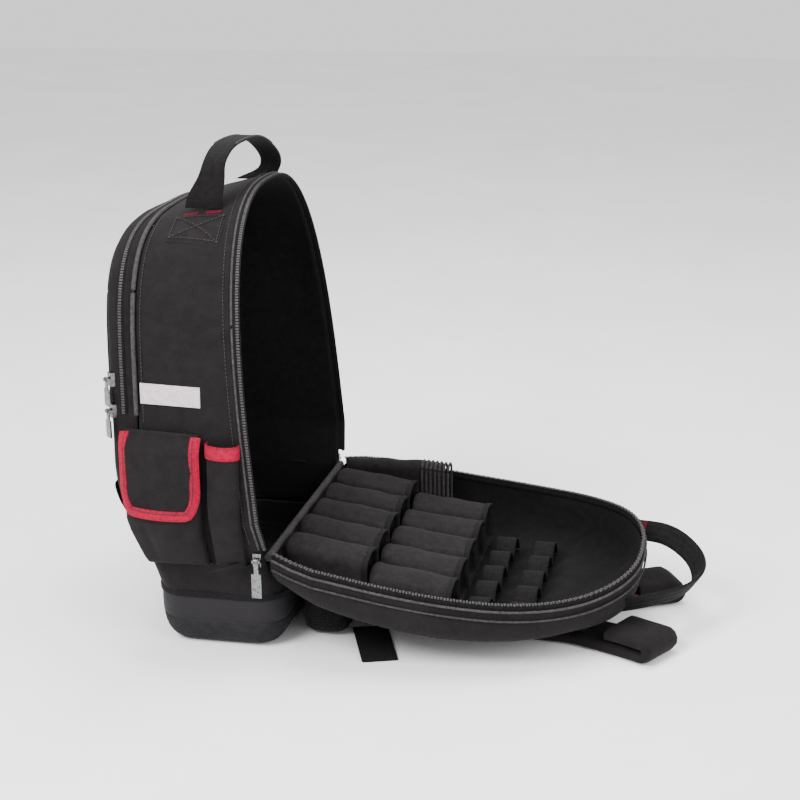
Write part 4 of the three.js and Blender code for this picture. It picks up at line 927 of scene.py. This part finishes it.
band_piece(
    "flap_red_binding", border, along_wall, 11.6, 3.4, red_webbing, ["flap_binding"], 14, 0.6)
middle_x = sum(FLAP.x) / 2
edge_row = [(lerp(middle_x, p.x, 0.965), lerp(FLAP.z[1], p.z, 0.965)) for p in border]
edge_row = [Vector((x, flap_y(x, z, 3.8), z)) for x, z in edge_row]
stitches("flap_stitching", [edge_row], lambda p: (0, -1, 0))
MOUTH = Sizes(z=241.2, width=15.6, thick=2.2, edge=0.08, past=1.2, sink=0.6)


def mouth_band(name, side, pocket, node_name):
    z, edge = MOUTH.z, MOUTH.edge
    path = []
    for k in range(33):
        u = k / 32
        x = lerp(*pocket.x, clamp((u - edge) / (1 - 2 * edge)))
        x -= MOUTH.past * ((u < edge) - (u > 1 - edge))
        rise = math.sin(min(clamp(u / edge), clamp((1 - u) / edge)) * math.pi / 2)
        out = (pocket_depth(pocket, x, pocket.top) - MOUTH.sink) * rise
        path.append(Vector((x, side * (outline_at(clamp(x, FRONT_X, 60), z) + 0.4 + out), z)))
    band_piece(
        name, spaced(path, 2.5), (0, -side * 0.06, 1), MOUTH.width, MOUTH.thick, red_webbing, [node_name],
        14)


mouth_band("slot_red_band", -1, SLOT_POCKET, "slot_band")
mouth_band("far_red_band", 1, FAR_POCKET, "far_band")

# %% [markdown]
# ## The opening's zip and the inner pockets
# The tape stands just past the shell's edge, with a chain of teeth on it and a pale line beside it.

# %% Opening zip
opening_path = spaced(arch_path(1, 1.5, HINGE_Z + 15, lambda z: opening_x(z) + 4.3), 4)
from_centre = away_from(230)
band_piece(
    "opening_zip_cloth", opening_path, (1, 0, 0), 8, 2.0, webbing, ["opening_zip_tape"], flat=0.5)
coil_path = [p + from_centre(p).normalized() * 1.1 + Vector((1.2, 0, 0)) for p in opening_path]
zip_coil("opening_zip_coil", coil_path, from_centre, 0, (1.9, 3.4, 1.2), 3.0)
piping_path = spaced(arch_path(1, 0.2, HINGE_Z + 16, lambda z: opening_x(z) - 0.6), 4)
tube_piece("opening_piping", piping_path, 1.3, pale_cord)

# %% Inner pockets
INNER = Sizes(half=148, x=FRONT_X + 3.4, z=(130, 280), depth=21, count=3, edge=0.03)


def inner_skin(u, v):
    y = lerp(-INNER.half, INNER.half, u)
    z = lerp(*INNER.z, v)
    share = (u * INNER.count) % 1
    full = 0.35 + 0.65 * hump(share, 0.5) * math.sqrt(clamp(v / 0.12))
    edge = min(clamp(u / INNER.edge), clamp((1 - u) / INNER.edge), clamp(v / INNER.edge + 0.02))
    return INNER.x + INNER.depth * full * edge, y, z


bm = bmesh.new()
grid(bm, inner_skin, 72, 30, (300, 160))
turn_out(bm, lambda face: face.normal.x)
rumple(bm, 45, 2.0, 11.0, free_points(bm))
finish_piece("inner_pocket_cloth", bm, oxford_grey, ["inner_pockets"], thick=2, weld=False)
hem = [Vector(inner_skin(k / 72, 1)) + Vector((0.6, 0, -3)) for k in range(73)]
band_piece("inner_pocket_hem", hem, (0, 0, 1), 9, 2.6, webbing, around=10, flat=0.5)

# %% [markdown]
# ## Top handle
# Webbing over the crest: it leaves its two sewn feet, stands up and crosses to the other side.

# %% Handle
HANDLE = Sizes(x=-1, skew=6, width=25, foot_x=-20, foot_width=42, foot_y=92, top=545, thick=4)
FOOT_SHARES = (0.2, 0.1)
HANDLE_ROUTE = [
    (-1, 0, 1), (-1.02, 0.22, 0.75), (-1.01, 0.5, 0.25), (-0.96, 0.78, 0), (-0.68, 0.96, 0), (-0.25, 1, 0),
    (0.2, 0.94, 0), (0.6, 0.74, 0), (0.9, 0.45, 0), (1.01, 0.2, 0.25), (1, 0, 1)]


def crest_z(x, y):
    low, high = FULL_Z, CREST[1]
    for _ in range(24):
        z = (low + high) / 2
        low, high = (z, high) if outline_at(x, z) > abs(y) else (low, z)
    return low


foot_z = crest_z(HANDLE.foot_x, HANDLE.foot_y) + HANDLE.thick * 0.75
handle_points = []
for y, rise, foot in HANDLE_ROUTE:
    x = lerp(HANDLE.x + y * HANDLE.skew, HANDLE.foot_x, foot)
    handle_points.append(Vector((x, y * HANDLE.foot_y, foot_z + rise * (HANDLE.top - foot_z))))
handle_path = spaced(smooth_path(handle_points), 4)


def handle_width(v):
    foot = clamp(1 - min(v / FOOT_SHARES[0], (1 - v) / FOOT_SHARES[1]))
    return lerp(HANDLE.width, HANDLE.foot_width, foot * foot * (3 - 2 * foot))


band_piece(
    "top_handle_webbing", handle_path, (1, 0, 0), handle_width, HANDLE.thick, webbing, ["top_handle"],
    around=16)
PATCH = Sizes(x=(-49, 9), y=(102, 136), inset=3)
patch_rows = []
for side in (-1, 1):
    xs = (PATCH.x[0] + PATCH.inset, PATCH.x[1] - PATCH.inset)
    ys = (PATCH.y[0] + PATCH.inset, PATCH.y[1] - PATCH.inset)
    a, b, c, d = [(x, y) for x in xs for y in ys]
    for (x0, y0), (x1, y1) in ((a, b), (c, d), (a, c), (b, d), (a, d), (b, c)):
        way = [(lerp(x0, x1, t / 12), lerp(y0, y1, t / 12)) for t in range(13)]
        patch_rows.append([Vector((x, side * y, crest_z(x, y) + 2.5)) for x, y in way])
stitches("patch_stitching", patch_rows, lambda p: (0, math.copysign(0.5, p.y), 0.8))
grip = [p for p in handle_path if abs(p.y) < 0.62 * HANDLE.foot_y]
bm = bmesh.new()
for side in (1, -1):
    tube(bm, [p + Vector((side * (HANDLE.width / 2 - 1), 0, 1.2)) for p in grip], 1.3)
finish_piece("handle_edge_binding", bm, grey_tape, [])

# %% [markdown]
# ## The lid
# The lid is a pan: its outline is the opening's, its rim and its floor follow heights along its length, and
# its lower edge is round. An inner skin makes the lining, with the soft fold that the floor shows.

# %% Lid surface
LID = Sizes(
    x=65, length=388, half=192, shoulder=52, square=2.3, twist=0.15, rim=112, round=30,
    wall=4)
LID_PROFILE = [
    (1, 0.73), (0.92, 0.535), (0.83, 0.375), (0.76, 0.277), (0.714, 0.241), (0.714, 0.241), (0.76, 0.268)]
LID_ROUND = [(0, 0), (0.4, 0.03), (0.68, 0.16), (0.88, 0.45), (1, 1)]


def lid_share(x):
    return (x - LID.x) / LID.length


def rim_z(x, y):
    return eased(LID_PROFILE, lid_share(x))[0] * LID.rim + LID.twist * lid_share(x) ** 2 * y


def base_z(x):
    return eased(LID_PROFILE, lid_share(x))[1] * LID.rim


LID_LOW, LID_ARCH = 10, 44


def lid_station(i):
    """(x, half width) at station i, from the hinge to the end of the lid."""
    if i <= LID_LOW:
        t = i / LID_LOW
        y = lerp(HINGE_HALF, LID.half, 0.65 * t * 2 if t < 0.5 else lerp(0.65, 1, t * 2 - 1))
        return LID.x + LID.shoulder * t, y
    angle = CREST_ANGLE * (i - LID_LOW) / LID_ARCH
    power = 2 / LID.square
    x = LID.x + LID.shoulder + (LID.length - LID.shoulder) * math.sin(angle) ** power
    return x, LID.half * math.cos(angle) ** power


def lid_edge(i, inset):
    x, y = lid_station(i)
    x0, y0 = lid_station(max(i - 1, 0))
    x1, y1 = lid_station(i + 1) if i < LID_LOW + LID_ARCH else (x, -y)
    length = math.hypot(x1 - x0, y1 - y0) or 1
    px, py = x + inset * (y1 - y0) / length, y - inset * (x1 - x0) / length
    return (max(px, LID.x + max(inset, 0) * 0.5) if i else LID.x + clamp(inset, 0, 5)), py


LID_STATIONS = LID_LOW + LID_ARCH


def lid_wall(cut):
    def surface(u, v):
        down, inwards = eased(LID_ROUND, v)
        side, i = mirrored(round(u * 2 * LID_STATIONS), LID_STATIONS)
        x, y = lid_edge(i, cut + LID.round * inwards)
        y *= side
        return x, y, lerp(rim_z(x, y), base_z(x) + cut, down)

    return surface


def lid_floor(cut):
    def surface(u, v):
        i = round(v * LID_STATIONS)
        x, y = lid_edge(i, cut + LID.round)
        return x, lerp(-y, y, u), base_z(x) + cut

    return surface


def lid_hinge_wall(cut):
    def surface(u, v):
        down, inwards = eased(LID_ROUND, v)
        x, y = lid_edge(0, cut + LID.round * inwards)
        y0 = lerp(-y, y, u)
        return x, y0, lerp(rim_z(x, y0), base_z(x) + cut, down)

    return surface


def lid_skin(name, cut, material, nodes, outward, folds, wrinkle):
    def outside(face):
        is_floor = abs(face.normal.z) > 0.9 and face.calc_center_median().z < 0.075
        return -outward * face.normal.z if is_floor else 0

    bm = bmesh.new()
    grid(bm, lid_wall(cut), 2 * LID_STATIONS, 14, (1150, 80))
    grid(bm, lid_floor(cut), 40, LID_STATIONS, (340, 380))
    grid(bm, lid_hinge_wall(cut), 40, 14, (330, 60))
    bmesh.ops.remove_doubles(bm, verts=bm.verts, dist=2 * MERGE)
    turn_out(bm, outside)
    free = free_points(bm)
    rumple(bm, 70, wrinkle, 8.0 + cut, free)
    press_folds(bm, folds, free)
    finish_piece(name, bm, material, nodes, weld=False)


lid_skin("lid_cloth", 0, oxford, ["lid_shell"], 1, [
    ((150, -190, 76), (250, -192, 40), 10, 1.8), ((300, -178, 66), (400, -128, 40), 10, 2.0),
    ((420, -90, 60), (448, 0, 44), 9, 1.6)], 2.6)
lid_skin("lid_lining_cloth", LID.wall, oxford_dark, [], -1, [
    ((392, -60, 32), (428, 44, 44), 12, -12.0), ((372, -20, 32), (404, 70, 36), 11, 3.0),
    ((350, -110, 32), (410, -70, 34), 10, -2.5), ((360, 60, 32), (360, 140, 34), 12, -2.5)], 2.0)

rim_path = []
for k in range(2 * LID_STATIONS + 1):
    side, i = mirrored(k, LID_STATIONS)
    x, y = lid_edge(i, 2)
    rim_path.append(Vector((x, side * y, rim_z(x, side * y) + 4.6)))
rim_path = spaced(rim_path, 4)


def beside_rim(out, up):
    """A line that runs along the rim, out from the lid's middle by out and higher by up."""
    path = []
    for p in rim_path:
        way = Vector((p.x - 230, p.y, 0)) if p.x > 240 else Vector((0, p.y, 0))
        path.append(p + way.normalized() * out + Vector((0, 0, up)))
    return path


band_piece("lid_zip_cloth", rim_path, (0, 0, 1), 8.4, 2.0, webbing, ["lid_zip_tape"], flat=0.5)
zip_coil("lid_zip_coil", beside_rim(0, 4.4), lambda p: (0, 0, 1), 0.5, (2.2, 3.4, 1.6), 3.4)
tube_piece("lid_rim_piping", beside_rim(2.6, -3.6), 1.5, pale_cord)
tube_piece("lid_side_seam", beside_rim(3.4, -14), 1.2, grey_tape)
keep(["hinge_binding"], grey_tape)

# %% [markdown]
# ## Tool sleeves
# Each sleeve is a flat tube of cloth, shut at the hinge end and open towards the lid's end.


# %% Sleeves
SLEEVE_CORNER, SLEEVE_END = 7.0, 0.06


def sleeve_section(t, y0, y1, z0, z1, crown):
    """Point at share t round a box with round corners and a crowned top, from the bottom's middle."""
    width, height = y1 - y0, z1 - z0
    corner = min(SLEEVE_CORNER, width / 3, height / 3)
    x, y = rounded_rectangle((t + 0.625) % 1, width / 2, height / 2, corner)
    lift = crown * math.cos(math.pi * clamp(x / width, -0.5, 0.5)) * clamp(y / (height / 2))
    return (y0 + y1) / 2 + x, (z0 + z1) / 2 + y + lift


def sleeve(bm, x0, x1, y0, y1, floor, seam, crown):
    def surface(u, v):
        x = lerp(x0, x1, clamp((v - SLEEVE_END) / (1 - SLEEVE_END)))
        shut = math.sin(clamp(v / SLEEVE_END) * math.pi / 2)
        y, z = sleeve_section(u, y0, y1, floor(x), seam(x), crown)
        return x, lerp((y0 + y1) / 2, y, shut), lerp((floor(x) + seam(x)) / 2, z, shut)

    made = grid(bm, surface, 40, 22, (2 * (y1 - y0) + 80, x1 - x0))
    bmesh.ops.remove_doubles(bm, verts=made, dist=MERGE)


SLEEVES = Sizes(x=LID.x + 9, tier=92, count=5, rise=13, seam=0.45, step=14, gap=0.8)
far_outer = HINGE_HALF - 1.5 * LID.wall
FAR_SLEEVE = Sizes(y=(far_outer - 22, far_outer), length=120, rise=14, crown=3, rings=7, pitch=5.4)
sleeves_half = FAR_SLEEVE.y[0] - 0.3
pitch = 2 * sleeves_half / SLEEVES.count


def sleeve_floor(x):
    return base_z(x) + LID.wall + 1


def tier(name, x0, drop, node_name):
    def seam_at(middle):
        return lambda x: rim_z(x, middle) - drop + SLEEVES.rise * SLEEVES.seam

    middles = [-sleeves_half + (k + 0.5) * pitch for k in range(SLEEVES.count)]
    half = (pitch - SLEEVES.gap) / 2
    crown = SLEEVES.rise * 0.5
    bm = bmesh.new()
    for k in range(SLEEVES.count):
        y0, y1 = middles[k] - half, middles[k] + half
        seam = seam_at(y0 + pitch / 2)
        sleeve(bm, x0, x0 + SLEEVES.tier - 1, y0, y1, sleeve_floor, seam, crown)
    turn_out(bm)
    rumple(bm, 26, 2.2, 13.0 + drop, free_points(bm))
    for k, middle in enumerate(middles):
        top_z = rim_z(x0 + 50, middle) - drop + 9
        lean = 12 if k % 2 else -9
        crease(bm, (x0 + 22, middle - 16, top_z), (x0 + 70, middle + lean, top_z - 3), 6, 2.0)
    finish_piece(name, bm, oxford_grey, [node_name], thick=1.6, weld=False)
    bm = bmesh.new()
    x = x0 + SLEEVES.tier - 4
    for middle in middles:
        y0, y1 = middle - half, middle + half
        seam_z = seam_at(y0 + pitch / 2)(x)
        shares = [0.16 + 0.68 * j / 24 for j in range(25)]
        mouth = [sleeve_section(share, y0, y1, sleeve_floor(x), seam_z, crown) for share in shares]
        band(bm, [Vector((x, y, z)) for y, z in mouth], (1, 0, 0), 7, 2.4, 10, 0.5)
    finish_piece(name + "_hems", bm, webbing, [])


tier("lower_sleeve_cloth", SLEEVES.x, 0, "tool_sleeves_lower")
tier("upper_sleeve_cloth", SLEEVES.x + SLEEVES.tier, SLEEVES.step, "tool_sleeves_upper")
far_x = SLEEVES.x


def far_floor(x):
    return base_z(x) + 16


def far_top(x):
    return HINGE_Z + FAR_SLEEVE.rise + 2.8 * hump((x - far_x) / FAR_SLEEVE.length) - 3


bm = bmesh.new()
sleeve(bm, far_x, far_x + FAR_SLEEVE.length, *FAR_SLEEVE.y, far_floor, far_top, FAR_SLEEVE.crown)
turn_out(bm)
rumple(bm, 24, 1.8, 21.0, free_points(bm))
finish_piece("far_sleeve_cloth", bm, oxford_grey, ["far_sleeve"], thick=1.6, weld=False)
bm = bmesh.new()
y0, y1 = FAR_SLEEVE.y[0] - 0.6, FAR_SLEEVE.y[1] + 0.6
for k in range(FAR_SLEEVE.rings):
    x = far_x + FAR_SLEEVE.length - 25 + k * FAR_SLEEVE.pitch
    heights = far_floor(x) - 0.6, far_top(x) + 0.6
    ring = [sleeve_section(j / 40, y0, y1, *heights, FAR_SLEEVE.crown) for j in range(41)]
    tube(bm, [Vector((x, y, z)) for y, z in ring], 1.5, 6)
finish_piece("far_sleeve_elastic", bm, grey_tape, [])

# %% [markdown]
# ## Elastic rows
# Each row is one band of webbing, sewn down between loops that stand up side by side.

# %% Elastic loops
ELASTIC = Sizes(width=24, thick=1.8, loops=5, rise=20, half=118, pitch=46, start=12)


def elastic(name, x, node_name):
    floor = max(base_z(x + f * ELASTIC.width) for f in (-0.5, 0, 0.5)) + LID.wall + 1.5
    path = []
    for k in range(ELASTIC.loops * 22 + 1):
        u = k / 22
        y = lerp(-ELASTIC.half, ELASTIC.half, u / ELASTIC.loops)
        path.append(Vector((x, y, floor + ELASTIC.rise * abs(math.sin(math.pi * u)) ** 0.7)))
    band_piece(name, path, (1, 0, 0), ELASTIC.width, ELASTIC.thick, webbing, [node_name])


elastic_x = SLEEVES.x + 2 * SLEEVES.tier + ELASTIC.start + ELASTIC.width / 2
elastic("elastic_loops_lower", elastic_x, "elastic_row_lower")
elastic("elastic_loops_upper", elastic_x + ELASTIC.pitch, "elastic_row_upper")

# %% [markdown]
# ## Lid handle
# A loop of webbing sewn to the end of the lid. It stands out, droops and leans.

# %% Lid handle
LID_HANDLE = Sizes(reach=56, span=90, width=25, thick=4, lean=math.radians(55))
LID_HANDLE_ROUTE = [
    (-0.375, -0.68, 0.71), (0.2, -0.55, 0.64), (0.75, -0.28, 0.6), (1.06, 0.06, 0.5), (1.01, 0.35, 0.3),
    (0.66, 0.67, 0.14), (0.2, 0.9, 0.08), (-0.5, 1, 0.1)]
lid_end = LID.x + LID.length
end_rim = rim_z(lid_end, 0)
end_height = end_rim - base_z(lid_end)
lid_handle_path = spaced(smooth_path([
    (lid_end + out * LID_HANDLE.reach, side * LID_HANDLE.span, end_rim - drop * end_height)
    for out, side, drop in LID_HANDLE_ROUTE]), 4)


def handle_lean(p, tangent):
    out = Vector((0, 0, 1)).cross(tangent).normalized() * -1
    return out * math.cos(LID_HANDLE.lean) + Vector((0, 0, math.sin(LID_HANDLE.lean)))


band_piece(
    "lid_handle_webbing", lid_handle_path, handle_lean, LID_HANDLE.width, LID_HANDLE.thick, webbing,
    ["lid_handle"], around=16)

# %% [markdown]
# ## Padding and straps under the lid
# Pads are closed forms with round ends. A short cloth simulation with inner pressure fills them out.


# %% Pads
VOXEL, PRESSURE, FRAMES = 4.5, 4.0, 20


def alongside(share):
    """x at this share of the lid's length."""
    return LID.x + LID.length * share


def cushion(bm, xs, ys, base, top, corner):
    def surface(u, v):
        angle = math.pi * v
        x = lerp(*xs, (1 - math.cos(angle)) / 2)
        drawn = corner * (1 - math.sin(angle) ** 0.5)
        z0, z1 = base + drawn / 3, top(x) - drawn / 3
        half = (z1 - z0) / 2
        y, z = rounded_rectangle(u, (ys[1] - ys[0]) / 2 - drawn, half, min(corner, half / 1.1))
        return x, (ys[0] + ys[1]) / 2 + y, (z0 + z1) / 2 + z

    grid(bm, surface, 56, 26, (2 * (ys[1] - ys[0]), xs[1] - xs[0]))
    merge(bm)
    close_ends(bm)
    turn_out(bm)


def apply_all(item):
    """Turns what the modifiers make into the object's own mesh."""
    depsgraph = bpy.context.evaluated_depsgraph_get()
    mesh = bpy.data.meshes.new_from_object(item.evaluated_get(depsgraph), depsgraph=depsgraph)
    item.modifiers.clear()
    item.data = mesh
    for face in mesh.polygons:
        face.use_smooth = True


def inflate(item, cap):
    """Fills a pad by cloth pressure, then keeps each point within cap mm of where it began."""
    remesh = item.modifiers.new("voxels", "REMESH")
    remesh.mode = "VOXEL"
    remesh.voxel_size = VOXEL * MM
    apply_all(item)
    before = [v.co.copy() for v in item.data.vertices]
    cloth = item.modifiers.new("cloth", "CLOTH")
    cloth.settings.use_pressure = True
    cloth.settings.uniform_pressure_force = PRESSURE
    cloth.settings.effector_weights.gravity = 0
    cloth.point_cache.frame_start, cloth.point_cache.frame_end = 1, FRAMES
    for step in range(1, FRAMES + 1):
        scene.frame_set(step)
        bpy.context.view_layer.update()
    apply_all(item)
    for v, old in zip(item.data.vertices, before):
        moved = v.co - old
        v.co = old + moved * min(1, cap * MM / max(moved.length, 1e-9))
    scene.frame_set(1)


def pad(name, node_name, xs, ys, base, corner, folds, cap):
    bm = bmesh.new()
    cushion(bm, xs, ys, base, lambda x: base_z(x) - 1.5, corner)
    item = finish_piece(name, bm, air_mesh, [node_name], weld=False)
    inflate(item, cap)
    bm = bmesh.new()
    bm.from_mesh(item.data)
    press_folds(bm, folds)
    bm.to_mesh(item.data)
    bm.free()


folds = [((107, y, 0), (107, y, 70), 5, 2.0) for y in (-80, 80)]
pad("lumbar_pad_cloth", "lumbar_pad", (alongside(0.045), alongside(0.173)), (-112, 112), 2, 19, folds, 2.5)
back_xs = (alongside(0.206), alongside(0.868))
for side, word in ((-1, "near"), (1, "far")):
    ys = (-78, -16) if side < 0 else (16, 78)
    folds = [((x, side * 14, 24), (x, side * 80, 24), 5, 2.0) for x in (200, 260, 330)]
    pad(f"back_pad_cloth_{word}", f"back_pad_{word}", back_xs, ys, 16, 9, folds, 2.0)

# %% [markdown]
# Each shoulder strap runs out past the lid's end, folds over and comes back on itself. Flat webbing joins it
# to the lumbar pad, and a tail of webbing lies on the floor.

# %% Shoulder straps
STRAP = Sizes(width=60, thick=14, y=45, splay=43, back=46, webbing=40, webbing_thick=2.2)
STRAP_ROUTE = [(0.348, 0), (0.58, 0), (0.786, 0.05), (0.915, 0.35), (1.052, 1)]


def strap_route(side):
    half = STRAP.thick / 2
    plan = [(alongside(a), side * (STRAP.y + STRAP.splay * out), half) for a, out in STRAP_ROUTE]
    plan = smooth_path(plan)
    end, way = plan[-1], (plan[-1] - plan[-2]).normalized()
    radius = half + 0.3
    turns = [math.pi * k / 12 for k in range(1, 13)]
    fold = [end + way * radius * math.sin(a) + Vector((0, 0, radius * (1 - math.cos(a)))) for a in turns]
    back = [end - way * STRAP.back * k / 10 + Vector((0, 0, 2 * radius)) for k in range(1, 11)]
    return plan + fold + back, way


def level_side(p, tangent):
    return Vector((0, 0, 1)).cross(tangent)


for side, word in ((-1, "near"), (1, "far")):
    path, way = strap_route(side)
    flat_way = Vector((0, 0, 1)).cross(way)

    def strap_side(p, tangent):
        if abs(tangent.z) < 0.2 and p.z < STRAP.thick:
            return level_side(p, tangent)
        return flat_way

    bm = bmesh.new()
    band(bm, spaced(path, 4), strap_side, STRAP.width - 1, STRAP.thick - 1, 28, 0.45)
    rumple(bm, 40, 1.2, 31.0 + side)
    strap = finish_piece(f"shoulder_strap_cloth_{word}", bm, oxford, [f"shoulder_strap_{word}"])
    y = side * STRAP.y
    anchor = spaced([(alongside(0.178) + 0.5, y, 6), (alongside(STRAP_ROUTE[0][0]) - 33.3, y, 6)], 4)
    tail_a = Vector((alongside(0.224), side * 0.375 * LID.half, 1.1))
    tail_b = Vector((alongside(0.304), side * 0.823 * LID.half, 1.1))
    for part, route, across, around in (
            ("anchor", anchor, (0, 1, 0), 12), ("tail", spaced([tail_a, tail_b], 4), level_side, 14)):
        band_piece(
            f"strap_{part}_webbing_{word}", route, across, STRAP.webbing, STRAP.webbing_thick, webbing,
            [f"strap_{part}_{word}"], around=around)

# %% [markdown]
# ## CAD pieces that stay
# Zip sliders, pulls, buckles, bar tacks, the label and the sewn patches keep their CAD shape and get a real
# material.

# %% Materials for the kept pieces
keep([n for n in frame["nodes"] if "slider" in n or "pull" in n], metal)
keep(["strap_buckle_near", "strap_buckle_far"], tub_plastic)
keep(["label_plate"], label_film)
keep(["handle_patch_near", "handle_patch_far"], woven("patch_oxford_weave", "#141213", "#1e1b1c", uv=False))
keep([n for n in frame["nodes"] if "tack" in n], thread_red)

# %% [markdown]
# ## The floor
# A large pale plane just under the pack.

# %% Floor
bm = bmesh.new()
bmesh.ops.create_grid(bm, x_segments=1, y_segments=1, size=6, matrix=Matrix.Translation((0, 0, -0.0006)))
mesh = bpy.data.meshes.new("floor")
bm.to_mesh(mesh)
bm.free()
floor_piece = bpy.data.objects.new("floor", mesh)
scene.collection.objects.link(floor_piece)
paper, tree, shader, place = new_material("matt_white_paper")
mottled(tree, shader, "#f0f0f0", "#f7f7f7", 300, place["Object"])
shader.inputs["Roughness"].default_value = 0.9
mesh.materials.append(paper)
